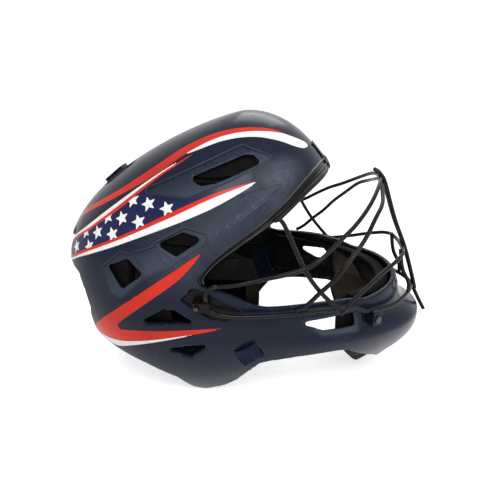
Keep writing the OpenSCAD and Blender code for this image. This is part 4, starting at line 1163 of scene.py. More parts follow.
def leather_grain(nodes, given):
    """Grained cover of the pads, with creases and rubbed high spots."""
    at = given["Vector"]
    pores = nodes.cells(at, 620.0)
    folds = nodes.cells(nodes.stretched(at, (1.0, 1.6, 1.0), (0.3, 0.2, 0.5)), 75.0, "DISTANCE_TO_EDGE")
    here = nodes.between(nodes.noise(at, 30.0, 3.0, 0.6), 0.45, 0.65)
    crease = nodes.times(nodes.between(folds, 0.0, 0.07, 1.0, 0.0), here)
    rubbed = nodes.between(nodes.noise(at, 45.0, 5.0, 0.65), 0.5, 0.72)
    color = nodes.blend(rubbed, given["Base"], given["Rubbed"])
    color = nodes.blend(nodes.times(crease, 0.5), color, CREASE_SHADE)
    return {"Color": color, "Roughness": nodes.between(rubbed, 0.0, 1.0, 0.62, 0.44),
            "Height": nodes.minus(nodes.times(pores, 0.5), crease)}


def woven_band(nodes, given):
    """Woven strap: ribs across the band and twill threads along it, on its own UV map in metres."""
    split = nodes.add("SeparateXYZ")
    nodes.put(split.inputs[0], given["Vector"])
    across, along = split.outputs[0], split.outputs[1]
    rib = nodes.math("SINE", nodes.times(along, 2 * math.pi / RIB_PITCH))
    twill = nodes.total(*((way, 2 * math.pi / pitch) for way, pitch in zip((across, along), TWILL_PITCH)))
    height = nodes.total((rib, given["Rib"]), (nodes.math("SINE", twill), 0.5))
    fuzz = nodes.noise(given["Object"], 800.0, 4.0, 0.7)
    lit = nodes.between(nodes.plus(height, nodes.minus(fuzz, 0.5)), -1.0, 1.0)
    worn = nodes.between(nodes.noise(given["Object"], 120.0, 3.0, 0.6), 0.5, 0.75, 0.0, 0.5)
    color = nodes.blend(worn, nodes.blend(lit, given["Shade"], given["Base"]), given["Faded"])
    return {"Color": color, "Roughness": nodes.between(fuzz, 0.2, 0.8, 0.7, 0.9), "Height": height}


EFFECTS = {
    "grazed_paint": (grazed_paint, {
        "Vector": ("Vector",), "Float": ("Edge", "Wear and highlight", "Grime", "Floor", "Side", "Lip", "Pale"),
        "Color": ("Base", "Shade", "Worn and highlight", "Dust", "Sheen")}),
    "rusted_coat": (rusted_coat, {
        "Vector": ("Vector",), "Float": ("Weld", "Rust amount"), "Color": ("Coat",)}),
    "stippled": (stippled, {
        "Vector": ("Vector",), "Float": ("Gloss", "Ridge"), "Color": ("Base", "Dust", "Shine")}),
    "leather_grain": (leather_grain, {"Vector": ("Vector",), "Color": ("Base", "Rubbed")}),
    "woven_band": (woven_band, {
        "Vector": ("Vector", "Object"), "Float": ("Rib",), "Color": ("Base", "Shade", "Faded")}),
}
OUTPUTS = {"Color": ("Color",), "Float": ("Roughness", "Height")}


def add_sockets(tree, way, kinds):
    for kind, labels in kinds.items():
        for label in labels:
            tree.interface.new_socket(label, in_out=way, socket_type="NodeSocket" + kind)


def shader_group(name):
    """A shared effect, built once."""
    if name not in GROUPS_MADE:
        build, inputs = EFFECTS[name]
        tree = bpy.data.node_groups.new(name, "ShaderNodeTree")
        add_sockets(tree, "INPUT", inputs)
        add_sockets(tree, "OUTPUT", OUTPUTS)
        nodes = Nodes(tree)
        start = tree.nodes.new("NodeGroupInput")
        end = tree.nodes.new("NodeGroupOutput")
        for label, value in build(nodes, start.outputs).items():
            nodes.put(end.inputs[label], value)
        GROUPS_MADE[name] = tree
    return GROUPS_MADE[name]


FAR_FROM_EDGE = 50.0
BUMP_STRENGTH = 0.6


def material(name, effect, bump, values, fields=(), metal=0.0, coat=0.0, coat_rough=0.1, specular=0.5):
    """A material whose colour, roughness and bump come from one of the shared effects."""
    made = bpy.data.materials.new(name)
    made.use_nodes = True
    nodes = Nodes(made.node_tree)
    body = made.node_tree.nodes["Principled BSDF"]
    look = nodes.add("Group")
    look.node_tree = shader_group(effect)
    at = nodes.add("TexCoord").outputs
    if effect == "woven_band":
        nodes.put(look.inputs["Vector"], at["UV"])
        nodes.put(look.inputs["Object"], at["Object"])
    else:
        nodes.put(look.inputs["Vector"], at["Object"])
    for label, value in values.items():
        nodes.put(look.inputs[label], value)
    for label in fields:
        nodes.put(look.inputs[label], nodes.add("Attribute", attribute_name=FIELDS[label]).outputs["Fac"])
    nodes.put(body.inputs["Base Color"], look.outputs["Color"])
    nodes.put(body.inputs["Roughness"], look.outputs["Roughness"])
    relief = nodes.add("Bump")
    relief.inputs["Strength"].default_value = BUMP_STRENGTH
    relief.inputs["Distance"].default_value = bump * MM
    nodes.put(relief.inputs["Height"], look.outputs["Height"])
    nodes.put(body.inputs["Normal"], relief.outputs[0])
    for label, value in (("Metallic", metal), ("Coat Weight", coat), ("Coat Roughness", coat_rough),
                         ("Specular IOR Level", specular)):
        body.inputs[label].default_value = value
    return made


# Colours of each paint, fresh, shaded and worn, and how worn and how grimy it is. The worn colour and the
# wear also carry the painted highlight on the recess lips and the painted sheen.
NAVY = ((0.0085, 0.0135, 0.031), (0.006, 0.0095, 0.022), (0.1, 0.12, 0.16))
PAINTED = {
    "navy_shell": (*NAVY, 1.0, 0.15),
    "navy_plain": (*NAVY, 0.6, 0.1),
    "shell_inside": ((0.012, 0.018, 0.036), (0.006, 0.009, 0.02), (0.05, 0.055, 0.07), 0.5, 0.5),
    "shell_lining": ((0.006, 0.0058, 0.006), (0.004, 0.004, 0.0042), (0.02, 0.02, 0.02), 0.4, 0.5),
    "red_paint": ((0.8, 0.036, 0.018), (0.58, 0.028, 0.018), (0.3, 0.16, 0.14), 0.8, 0.3),
    "white_paint": ((0.97, 0.96, 0.93), (0.91, 0.9, 0.87), (0.25, 0.25, 0.27), 0.5, 0.4),
    "star_paint": ((0.014, 0.018, 0.078), (0.01, 0.012, 0.055), (0.13, 0.14, 0.2), 0.9, 0.2),
}
# Colour of the recess floors: dust with painted light
RECESS_DUST_AND_SHEEN = (0.056, 0.067, 0.098)
# Colour of the painted sheen
SHEEN_NAVY = (0.15, 0.16, 0.195)
PAINT_BUMP = 0.07
FIELDS = {"Edge": "rim", "Floor": "floor", "Side": "side", "Lip": "lip", "Pale": "pale", "Weld": "weld",
          "Ridge": "ridge"}
# The shared effect, the bump in millimetres, the effect's inputs and the material's own settings
SURFACES = {
    "cage_wire": (
        "rusted_coat", 0.12, {"Coat": (0.0045, 0.0045, 0.005), "Rust amount": 0.9},
        {"fields": ("Weld",), "specular": 0.15, "coat": 0.05, "coat_rough": 0.12}),
    "black_steel": (
        "rusted_coat", 0.12, {"Coat": (0.005, 0.005, 0.0052), "Rust amount": 0.6, "Weld": 6.0},
        {"specular": 0.12}),
    "fastener_steel": (
        "rusted_coat", 0.12, {"Coat": (0.07, 0.06, 0.052), "Rust amount": 0.9, "Weld": 4.5},
        {"metal": 0.7, "specular": 0.3}),
    "rubber_edging": (
        "stippled", 0.03, {"Base": (0.0035, 0.0035, 0.004), "Dust": (0.009, 0.009, 0.009), "Gloss": 0.25,
                           "Shine": (0.1, 0.108, 0.115)},
        {"fields": ("Ridge",), "specular": 0.12}),
    "black_plastic": (
        "stippled", 0.06, {"Base": (0.006, 0.006, 0.0065), "Dust": (0.016, 0.016, 0.016), "Gloss": 0.34},
        {"specular": 0.1}),
    "padding": (
        "leather_grain", 0.25, {"Base": (0.003, 0.0025, 0.0023), "Rubbed": (0.008, 0.0062, 0.0052)},
        {"specular": 0.05}),
    "chin_cover": (
        "leather_grain", 0.25, {"Base": (0.03, 0.02, 0.015), "Rubbed": (0.055, 0.038, 0.028)},
        {"specular": 0.15}),
    "navy_webbing": (
        "woven_band", 0.28, {"Base": (0.014, 0.02, 0.058), "Shade": (0.003, 0.005, 0.018),
                             "Faded": (0.028, 0.034, 0.075), "Rib": 0.7},
        {"specular": 0.1}),
    "black_elastic": (
        "woven_band", 0.3, {"Base": (0.016, 0.016, 0.017), "Shade": (0.004, 0.004, 0.004),
                            "Faded": (0.035, 0.035, 0.036), "Rib": 1.2},
        {"specular": 0.2}),
}


def paint(name):
    base, shade, worn, wear_and_highlight_amount, grime = PAINTED[name]
    shell = name == "navy_shell"
    values = {
        "Base": base, "Shade": shade, "Worn and highlight": worn, "Wear and highlight": wear_and_highlight_amount, "Grime": grime, "Edge": FAR_FROM_EDGE,
        # The navy shell takes dust with painted light on its recess floors, and the colour of its painted
        # sheen
        "Dust": RECESS_DUST_AND_SHEEN if shell else base, "Sheen": SHEEN_NAVY if shell else base,
    }
    fields = () if name == "navy_plain" else ("Edge", "Floor", "Side", "Lip", "Pale")
    inside = name in ("shell_inside", "shell_lining")
    gloss = {"coat": 0.0, "specular": 0.08} if inside else {"coat": 0.05, "specular": 0.1}
    return material(name, "grazed_paint", PAINT_BUMP, values, fields, **gloss)


def finish(name):
    if name not in FINISHES:
        if name in PAINTED:
            FINISHES[name] = paint(name)
        else:
            effect, bump, values, settings = SURFACES[name]
            FINISHES[name] = material(name, effect, bump, values, **settings)
    return FINISHES[name]


# The stage's finishes

FLOOR_LIFT = 0.66
FLOOR_SHADE = 0.985


def white_to_the_camera(nodes):
    """1 where the camera, or a mirror or glass on the way, looks straight at the background."""
    path = nodes.add("LightPath")
    seen = nodes.math("ADD", path.outputs["Is Camera Ray"], path.outputs["Is Glossy Ray"], clamp=True)
    return nodes.math("ADD", seen, path.outputs["Is Transmission Ray"], clamp=True)


def floor_finish(color):
    mat = bpy.data.materials.new("floor")
    mat.use_nodes = True
    nodes = Nodes(mat.node_tree)
    body = mat.node_tree.nodes["Principled BSDF"]
    body.inputs["Roughness"].default_value = 0.9
    body.inputs["Specular IOR Level"].default_value = 0.0
    body.inputs["Emission Color"].default_value = (1, 1, 1, 1)
    fleck = nodes.noise(nodes.add("TexCoord").outputs["Object"], 40.0, 4.0, 0.6)
    shade = tuple(FLOOR_SHADE * k for k in color)
    nodes.put(body.inputs["Base Color"], nodes.blend(fleck, tuple(color), shade))
    nodes.put(body.inputs["Emission Strength"], nodes.times(white_to_the_camera(nodes), FLOOR_LIFT))
    return mat


# The edging and the cage

TRIM_RADIUS = 4.6
WIRE_RADIUS = 2.0
WIRE_DIAMETER = 2 * WIRE_RADIUS
CAGE_GAP = 3.0
CAGE_GROW = CAGE_GAP + WIRE_RADIUS
BEND_DIP = CAGE_GAP - 0.3
WELD = 0.9
CAGE_TOP = np.array([APEX + 117.0, 0.0, 190.0])
CAGE_FOOT = np.array([APEX + 159.5, 0.0, 86.0])
MOUTH = np.array([APEX + 143.5, 0.0, 125.0])
BAR_HALF_GAP = 6.0
BAR_GAP = WIRE_RADIUS - 0.05
THROAT_DROP = 28.0
THROAT_LEAD = 12.5
EAR_END_X = -18.0
WIRE_SHIFT = 10.4
WIRE_LOWEST = 177.5
EDGING_LOWEST = 122.5
EDGING_RADII = (4.3, 2.7)
EDGING_RADII_X = (62, 26)
EDGING_SLIMMER = 0.5
EDGING_SLIMMER_Z = (146, 132)
EDGING_WIDER = 0.36
EDGING_WIDER_Z = (160, 176)
EDGING_HOLD = 0.4
EDGING_GAP = 1.6
EDGING_EASING = 4.0
EDGING_SIDES = 40
START_HALF = 0.5
START_SHARE = 0.3
GROOVE_SHARE = 0.26
RIDGE_AT = 0.66
RIDGE_HALF = 0.2


def beside(u, z, out=0.0):
    """A point off the shell's side by the cage's clearance."""
    return np.array([APEX + u, float(side_y(APEX + u, z, CAGE_GROW)) + out, z])


def below_top(back, y, drop):
    """A point of the front of the cage, behind its topmost point and below it."""
    return CAGE_TOP + [-back, y, -drop]


def opening_line(shift, grow, lowest):
    """A line beside the moulded edge of the upper face opening, from the brim's middle down to a height."""
    line = FACE_EASED[FACE_EASED[:, 1] > lowest]
    line = moved_in(line, shift(line))
    half = side_y(APEX + line[:, 0], line[:, 1], grow)
    start = np.argmax(half > START_HALF)
    middle = line[start] + (line[start - 1] - line[start]) * START_SHARE
    points = np.column_stack([APEX + line[start:, 0], half[start:], line[start:, 1]])
    return np.concatenate([[[APEX + middle[0], 0, middle[1]]], points])


def edging_size(line):
    """Radius of the edging, fuller at the brim than beside the ear."""
    size = mix(*EDGING_RADII, ramp(line[:, 0], *EDGING_RADII_X))
    return size - EDGING_SLIMMER * ramp(line[:, 1], *EDGING_SLIMMER_Z)


def edging_width(line):
    """How much wider than high the edging is: it reaches in under the wire from the brim to the ear."""
    return 1 + EDGING_WIDER * ramp(line[:, 1], *EDGING_WIDER_Z)


def edging_shift(line):
    """How far the edging's middle lies off the shell's edge."""
    return edge_reach(line) + edging_size(line) * (edging_width(line) - EDGING_HOLD)


EDGING_LINE = opening_line(edging_shift, -WALL / 2, EDGING_LOWEST)
CHEEK_JOINT = beside(51, 138, 7)
CHEEK_CROSSING = beside(64, 118, 6)
JAW_JOINT = beside(81, 96, 3)
EYE_HALF = [
    below_top(-1.6, 0, 0), below_top(1.2, 22, 2.2), below_top(11.4, 48, 13), below_top(24.8, 69, 24.4),
    below_top(37.2, 83, 32.4), below_top(54, CHEEK_JOINT[1] - 2, 45), CHEEK_JOINT,
    beside(34, 134, 4), beside(16, 130), beside(0, 126.5), beside(EAR_END_X, 124, -BEND_DIP),
]
OPENING_HALF = [
    *even(opening_line(lambda line: WIRE_SHIFT, 0.0, WIRE_LOWEST), 9.0), beside(33, 173, -1) + [-1, 0, 3],
    CHEEK_JOINT - [0, WIRE_DIAMETER - WELD, 0], CHEEK_CROSSING - [0, WIRE_DIAMETER - WELD, 0],
    JAW_JOINT + [0, 0, WIRE_DIAMETER - WELD],
]
CHEEK_HALF = [
    below_top(-2.8, 0, WIRE_DIAMETER - WELD), below_top(-1.6, 20, WIRE_DIAMETER + 3.5),
    below_top(1, 43, 14.2), below_top(9, 61, 21.5), below_top(18.4, 77, 34.5), below_top(31.8, 89, 49.5),
    below_top(41, 94, 61.5), CHEEK_CROSSING, beside(54, 107, 3),
    beside(46, 100, 0.5) + [0, 0, WIRE_DIAMETER - WELD],
]
MOUTH_STEPS = [(0, 0, 0), (1.4, 20, 0), (7, 35, 0.02), (25.5, 53, 0.32), (38.8, 66, 0.58), (52.2, 79.5, 0.82)]
MOUTH_HALF = [MOUTH + [-back, y, share * (JAW_JOINT[2] + 1 - MOUTH[2])] for back, y, share in MOUTH_STEPS]
MOUTH_HALF.append(JAW_JOINT + [1, WIRE_RADIUS, 1])
JAW_HALF = [
    CAGE_FOOT + [-3, 0, 0], CAGE_FOOT + [-5, 12, 0], CAGE_FOOT + [-14, 30, 0],
    beside(134, 86.5, 1), beside(121, 88), beside(105, 91), beside(93, 98.5),
    JAW_JOINT + np.array([4, -3, 4.5]) * 0.7, beside(64, 100.5), beside(45, 100), beside(25, 99.5),
    beside(-1, 99.5), beside(EAR_END_X + 6, 101),
    beside(EAR_END_X - 1, 102, -BEND_DIP), beside(EAR_END_X - 5, 104.5, -BEND_DIP),
    beside(EAR_END_X - 6.5, 109, -BEND_DIP), beside(EAR_END_X - 6.5, 117, -BEND_DIP),
    beside(EAR_END_X - 5, 121.5, -BEND_DIP), beside(EAR_END_X + 0.2, 124, -BEND_DIP),
]


def bar_route(s):
    """A centre bar, just ahead of the wires that it is welded to."""
    low = WIRE_DIAMETER - WELD
    return [
        below_top(3, s * (BAR_HALF_GAP - 2), -5.5), below_top(-3.2, s * BAR_HALF_GAP, -3.4),
        below_top(-7.6, s * BAR_HALF_GAP, 8), MOUTH + [-8.3, s * (BAR_HALF_GAP - 1), 26],
        MOUTH + [low, s * (BAR_HALF_GAP - 2), 0],
        MOUTH + [10.4, s * (BAR_GAP + 0.15), 0.54 * (CAGE_FOOT[2] - MOUTH[2])],
        CAGE_FOOT + [low - 3, s * BAR_GAP, 0], CAGE_FOOT + [low - 1.8, s * BAR_GAP, -5],
    ]


def chin_bar_route(s):
    """A short bar from the mouth wire down to the jaw wire."""
    return [
        MOUTH + [-4.4, s * 23, 3], MOUTH + [-1, s * 23, -16],
        CAGE_FOOT + [-10, s * 23, 10], CAGE_FOOT + [-9.5, s * 22, 1],
    ]


WIRE_EASING = 5.5
EASING = {"jaw_wire": 2.8, "chin_bar_left": 3.0, "chin_bar_right": 3.0, "throat_guard": 3.0}
THROAT_ROUTE = [
    CAGE_FOOT + [-0.6, 0, -WIRE_RADIUS - 1.5], CAGE_FOOT + [THROAT_LEAD * 0.5, 0, -THROAT_DROP * 0.6],
    CAGE_FOOT + [THROAT_LEAD, 0, -THROAT_DROP],
]
WIRES = {
    "eye_wire": both_sides(EYE_HALF), "opening_wire": both_sides(OPENING_HALF),
    "cheek_wire": both_sides(CHEEK_HALF), "mouth_wire": both_sides(MOUTH_HALF),
    "jaw_wire": both_sides(JAW_HALF), "center_bar_left": bar_route(1), "center_bar_right": bar_route(-1),
    "chin_bar_left": chin_bar_route(1), "chin_bar_right": chin_bar_route(-1), "throat_guard": THROAT_ROUTE,
}
WELDS = np.array([p * [1, s, 1] for s in (1, -1) for p in (
    CHEEK_JOINT, CHEEK_CROSSING, JAW_JOINT, beside(EAR_END_X, 124, -BEND_DIP), beside(46, 104),
    CAGE_FOOT, MOUTH + [2, BAR_HALF_GAP, 0], CAGE_TOP + [2, BAR_HALF_GAP, -2], MOUTH + [-2, 23, 0],
    CAGE_FOOT + [-10, 23, 2], beside(EAR_END_X - 6.5, 113, -BEND_DIP))])


class HelmetTrim(bpy.types.PropertyGroup):
    radius: FloatProperty(
        name="Radius", description="Radius of the rubber edging", default=TRIM_RADIUS * MM, min=3 * MM,
        max=6 * MM, unit="LENGTH")
    groove: FloatProperty(
        name="Groove", description="Depth of the groove between the edging's two ridges", default=2.1 * MM,
        min=0, max=3 * MM, unit="LENGTH")


class HELMET_OT_trim(bpy.types.Operator):
    """Rubber edging with a double ridge round the upper face opening"""
    bl_idname = "helmet.trim"
    bl_label = "Edging"

    def execute(self, context):
        sizes = context.scene.helmet_trim
        radius, groove = sizes.radius / MM, sizes.groove / MM
        path = eased(even(both_sides(EDGING_LINE), EDGING_GAP), EDGING_EASING)
        flat = side_view(path)
        size = edging_size(flat) / TRIM_RADIUS
        a = np.linspace(0, 2 * math.pi, EDGING_SIDES, endpoint=False)
        across, away = radius * np.cos(a), radius * np.sin(a)
        dip = np.where(away > 0, np.exp(-(across / (GROOVE_SHARE * radius)) ** 2), 0)
        profile = np.column_stack([across, away - groove * dip])
        points, faces = sweep(path, profile, size * edging_width(flat), size)
        obj = add_mesh("edging", points, faces, materials=[finish("rubber_edging")])
        off = np.abs(np.abs(across) / radius - RIDGE_AT) / RIDGE_HALF
        ridge = np.where(profile[:, 1] > 0, smooth(1 - off), 0)
        add_field(obj, "ridge", np.concatenate([np.tile(ridge, len(path)), [0, 0]]))
        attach(obj, HELMET)
        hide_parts("opening_trim")
        return {"FINISHED"}


class HelmetCage(bpy.types.PropertyGroup):
    wire_radius: FloatProperty(
        name="Wire radius", description="Radius of the coated cage wire", default=1.8 * MM, min=1 * MM,
        max=3 * MM, unit="LENGTH")
    sides: IntProperty(
        name="Wire sides", description="Sides of the wire's round section", default=20, min=8, max=32)


WIRE_STEPS = {
    "start": "NodeGroupInput", "circle": "GeometryNodeCurvePrimitiveCircle",
    "body": "GeometryNodeCurveToMesh", "smooth": "GeometryNodeSetShadeSmooth",
    "real": "GeometryNodeRealizeInstances", "coat": "GeometryNodeSetMaterial", "end": "NodeGroupOutput",
}
WIRE_LINKS = (
    ("start", "Radius", "circle", "Radius"), ("start", "Sides", "circle", "Resolution"),
    ("start", "Geometry", "body", "Curve"), ("circle", "Curve", "body", "Profile Curve"),
    ("body", "Mesh", "smooth", "Geometry"), ("smooth", "Geometry", "real", "Geometry"),
    ("real", "Geometry", "coat", "Geometry"), ("coat", "Geometry", "end", "Geometry"),
)


def wire_tree(coat):
    """Node tree that turns a line into a coated wire."""
    tree = bpy.data.node_groups.new("coated_wire", "GeometryNodeTree")
    add_sockets(tree, "INPUT", {"Geometry": ("Geometry",), "Float": ("Radius",), "Int": ("Sides",)})
    add_sockets(tree, "OUTPUT", {"Geometry": ("Geometry",)})
    steps = {name: tree.nodes.new(kind) for name, kind in WIRE_STEPS.items()}
    steps["coat"].inputs["Material"].default_value = coat
    steps["body"].inputs["Fill Caps"].default_value = True
    for first, out, then, into in WIRE_LINKS:
        tree.links.new(steps[first].outputs[out], steps[then].inputs[into])
    return tree


def socket_of(tree, name):
    """Identifier of a node tree's input."""
    return next(s.identifier for s in tree.interface.items_tree
                if s.item_type == "SOCKET" and s.in_out == "INPUT" and s.name == name)


CAP_TURNS = (82, 62, 42, 22)


def rounded_ends(path, radius):
    """The path with its ends drawn out into half balls, and each point's share of the full radius."""
    turns = np.radians(CAP_TURNS)
    start = unit(path[0] - path[1]) * radius
    end = unit(path[-1] - path[-2]) * radius
    head = [path[0] + start * (math.sin(a) - 1) for a in turns]
    tail = [path[-1] + end * (math.sin(a) - 1) for a in turns[::-1]]
    from_start, from_end = (np.linalg.norm(path - tip, axis=1) for tip in (path[0], path[-1]))
    keep = (from_start > radius) & (from_end > radius)
    shares = np.concatenate([np.cos(turns), np.ones(keep.sum()), np.cos(turns[::-1])])
    return np.concatenate([head, path[keep], tail]), shares


class HELMET_OT_cage(bpy.types.Operator):
    """Welded face cage of coated wire"""
    bl_idname = "helmet.cage"
    bl_label = "Cage"

    def execute(self, context):
        sizes = context.scene.helmet_cage
        tree = wire_tree(finish("cage_wire"))
        for name, route in WIRES.items():
            path = drawn(route, LINE_PARTS, LINE_GAP, EASING.get(name, WIRE_EASING))
            path, shares = rounded_ends(path, sizes.wire_radius / MM)
            line = bpy.data.curves.new(name + "_line", "CURVE")
            line.dimensions = "3D"
            run = line.splines.new("POLY")
            run.points.add(len(path) - 1)
            run.points.foreach_set("co", np.column_stack([path * MM, np.ones(len(path))]).ravel())
            run.points.foreach_set("radius", shares)
            obj = linked(name + "_line", line)
            rule = obj.modifiers.new("coated_wire", "NODES")
            rule.node_group = tree
            rule[socket_of(tree, "Radius")] = sizes.wire_radius
            rule[socket_of(tree, "Sides")] = sizes.sides
            wire = bake(obj, "wire_" + name)
            near = np.linalg.norm(points_of(wire.data)[:, None] / MM - WELDS[None], axis=2).min(axis=1)
            add_field(wire, "weld", near)
            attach(wire, HELMET)
            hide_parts(name)
        return {"FINISHED"}


# Fixings

FIXINGS = {
    "cage_mount_left": "black_plastic", "cage_mount_right": "black_plastic",
    "cage_clip_left": "black_steel", "cage_clip_right": "black_steel",
    "cage_screw_left": "fastener_steel", "cage_screw_right": "fastener_steel",
    "cage_nut_left": "fastener_steel", "cage_nut_right": "fastener_steel",
    "chin_clip_left": "navy_shell", "chin_clip_right": "navy_shell",
    "chin_clip_screw_left": "fastener_steel", "chin_clip_screw_right": "fastener_steel",
    "brim_clip_screw": "fastener_steel",
    "strap_anchor": "black_plastic", "strap_hook": "black_plastic",
}
HOOK_PITCH = math.radians(-55.6)
HOOK_SLOPE = math.radians(39.3)
HOOK_SHARE = 0.62
SCREW_SHARE = 0.5
BRIM_CLIP_HALF = 9.0
BRIM_CLIP_THICK = 1.0
BRIM_CLIP_GAP = 0.8
BRIM_CLIP_EASING = 1.0
BRIM_CLIP_POWERS = (0.25, 0.6)
BRIM_TAB = BRIM + 9
BRIM_TAB_HALF = 3
BRIM_SCREW_SHARE = 0.35
BRIM_BREAK_SHARE = 0.3
MERGE_DISTANCE = 0.005
FLAT_ANGLE = math.radians(2)
BROKEN_ANGLE = math.radians(35)
SHARP_ANGLE = math.radians(40)


def lower_hook(mesh):
    """Brings the hook's outer face down to the height that it has on the crown."""
    seat = Vector(cast(np.array([[math.sin(HOOK_PITCH), 0.0, math.cos(HOOK_PITCH)]]), 0)[0] * MM)
    out = Vector((-math.sin(HOOK_SLOPE), 0, math.cos(HOOK_SLOPE)))
    for vertex in mesh.verts:
        vertex.co -= out * (vertex.co - seat).dot(out) * (1 - HOOK_SHARE)


def slim_screw(mesh):
    """Draws the screw's head in round its axis, which runs across the helmet."""
    middle = sum((v.co for v in mesh.verts), Vector()) / len(mesh.verts)
    for vertex in mesh.verts:
        vertex.co.x = middle.x + (vertex.co.x - middle.x) * SCREW_SHARE
        vertex.co.z = middle.z + (vertex.co.z - middle.z) * SCREW_SHARE


def brim_clip_line():
    """The clip's way from its tab on the brim over the edging and round under the wire."""
    stand = BRIM_CLIP_THICK / 2 + 0.15
    over = WIRE_RADIUS + stand
    rubber, wire = EDGING_LINE[0], OPENING_HALF[0]
    along = unit(wire - rubber)
    out = np.array([-along[2], 0, along[0]])
    bend = float(edging_size(np.array([[rubber[0] - APEX, rubber[2]]]))[0]) + stand
    heights = (BRIM_TAB + BRIM_TAB_HALF, BRIM_TAB - BRIM_TAB_HALF)
    return [
        *(np.array([float(nose_x(0, z, stand)), 0, z]) for z in heights),
        rubber + out * bend - along * 2, rubber + out * bend * 0.95 + along * 2.5,
        wire + out * over, wire + unit(out + along) * over, wire + along * over,
    ]


def flatten_brim_screw(mesh):
    """Presses the brim screw's head down onto the clip's tab."""
    low, high = (nose_x(0, BRIM_TAB + k, 0.0) for k in (-BRIM_TAB_HALF, BRIM_TAB_HALF))
    seat = Vector(np.array([(low + high) / 2, 0, BRIM_TAB]) * MM)
    out = Vector((2.0 * BRIM_TAB_HALF, 0, float(low - high))).normalized()
    for vertex in mesh.verts:
        height = (vertex.co - seat).dot(out)
        if height > BRIM_CLIP_THICK * MM:
            vertex.co -= out * height * (1 - BRIM_SCREW_SHARE)


def dressed_fixing(work, name, width):
    """Gives a fixing its finer form and breaks its edges by a width."""
    if name == "strap_hook":
        lower_hook(work)
    if name.startswith("cage_screw"):
        slim_screw(work)
    if name == "brim_clip_screw":
        flatten_brim_screw(work)
        width = width * BRIM_BREAK_SHARE
    bmesh.ops.remove_doubles(work, verts=work.verts, dist=MERGE_DISTANCE * MM)
    bmesh.ops.dissolve_limit(work, angle_limit=FLAT_ANGLE, verts=work.verts, edges=work.edges)
    sharp = [e for e in work.edges if e.is_manifold and e.calc_face_angle(0) > BROKEN_ANGLE]
    bmesh.ops.bevel(
        work, geom=sharp, offset=width, segments=2, affect="EDGES", profile=0.6, clamp_overlap=True)


class HelmetFixings(bpy.types.PropertyGroup):
    bevel: FloatProperty(
        name="Edge break", description="Width of the broken edges on clips and screws", default=0.35 * MM,
        min=0, max=1 * MM, unit="LENGTH")


class HELMET_OT_fixings(bpy.types.Operator):
    """Clips, screws, nuts, pocket inserts and the hook, with broken edges"""
    bl_idname = "helmet.fixings"
    bl_label = "Fixings"

    def execute(self, context):
        width = context.scene.helmet_fixings.bevel
        for name, slot in FIXINGS.items():
            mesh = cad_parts[name].data.copy()
            mesh.materials.clear()
            edit_mesh(mesh, lambda work: dressed_fixing(work, name, width))
            for attribute in list(mesh.attributes):
                if attribute.name.startswith("custom_normal"):
                    mesh.attributes.remove(attribute)
            mesh.shade_smooth()
            mesh.set_sharp_from_angle(angle=SHARP_ANGLE)
            mesh.materials.append(finish("navy_plain" if slot == "navy_shell" else slot))
            obj = linked("fixing_" + name, mesh)
            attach(obj, PLATE if name == "strap_anchor" else HELMET)
            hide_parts(name)
        path = drawn(brim_clip_line(), LINE_PARTS, BRIM_CLIP_GAP, BRIM_CLIP_EASING)
        c, s = circle_points((0, 0), 1.0).T
        wide = BRIM_CLIP_HALF * np.abs(c) ** BRIM_CLIP_POWERS[0] * np.sign(c)
        high = BRIM_CLIP_THICK / 2 * np.abs(s) ** BRIM_CLIP_POWERS[1] * np.sign(s)
        points, faces = sweep(path, np.column_stack([wide, high]))
        obj = add_mesh("fixing_brim_clip", points, faces, materials=[finish("black_steel")])
        obj.data.set_sharp_from_angle(angle=math.radians(50))
        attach(obj, HELMET)
        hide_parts("brim_clip")
        return {"FINISHED"}


# Pads

SEAT_GAP = 0.9
PAD_GAP = WALL + SEAT_GAP
PLATE_SINK = 14.0
PLATE_WALL = 3.5
PLATE_TURN = math.degrees(math.asin(47 / (REAR_REACH - 44)))
PLATE_LOW = math.degrees(math.atan((52 - HEAD[2]) / (REAR_REACH - 50)))
PLATE_HIGH = math.degrees(math.atan((126 - HEAD[2]) / (REAR_REACH - 40)))
PAD_THICKNESS = 15.0
BINDING = 1.2
GROOVE = 0.7
GROOVE_AT = 2.3
GROOVE_WIDTH = 0.4
PANEL_START = 0.36
PANEL_MIDDLE = 0.8
PANEL_HALF = 0.8
PANEL_POWER = 2.6
PANEL_CELLS_IN = -0.03
PAD_REACH = 115.0
CROWN_SHARE = 0.64
CHANNEL_DEPTH = 0.16
CHANNEL_WIDTH = 0.05
SEAM_RISE = 1.2
SEAM_WIDTH = 0.035
SEAM_DIP = 0.8
SEAM_DIP_AT = 0.08
SEAM_DIP_WIDTH = 0.04
PAD_CELLS = (72, 48)
EAR_PAD_NOTCH = [(-55, 86), (-55, 126), (6, 126), (6, 86)]
# How far the pocket insert stands inside the shell, its lip, the nut and the room left for them
EAR_NOTCH_DEPTHS = (1, 1.6, 3.2, 1.6)
JAW_PAD_NOTCH = [(30, 40), (48, 91), (76, 92.5), (80, 88), (80, 40)]
CUT_REACH = 200


class Pad:
    """Where a pad lies, in directions from the middle of the head in degrees, and its form in millimetres."""

    def __init__(self, a, b, gap, thickness, over_top=False, corner=0.28, slant=0.0, bow=0.0,
                 body=HELMET, mirrored=False, cut=None, channels=(), panelled=False):
        self.a, self.b, self.gap, self.thickness = a, b, gap, thickness
        self.over_top, self.corner, self.slant, self.bow = over_top, corner, slant, bow
        self.body, self.mirrored, self.cut = body, mirrored, cut
        self.channels, self.panelled = channels, panelled


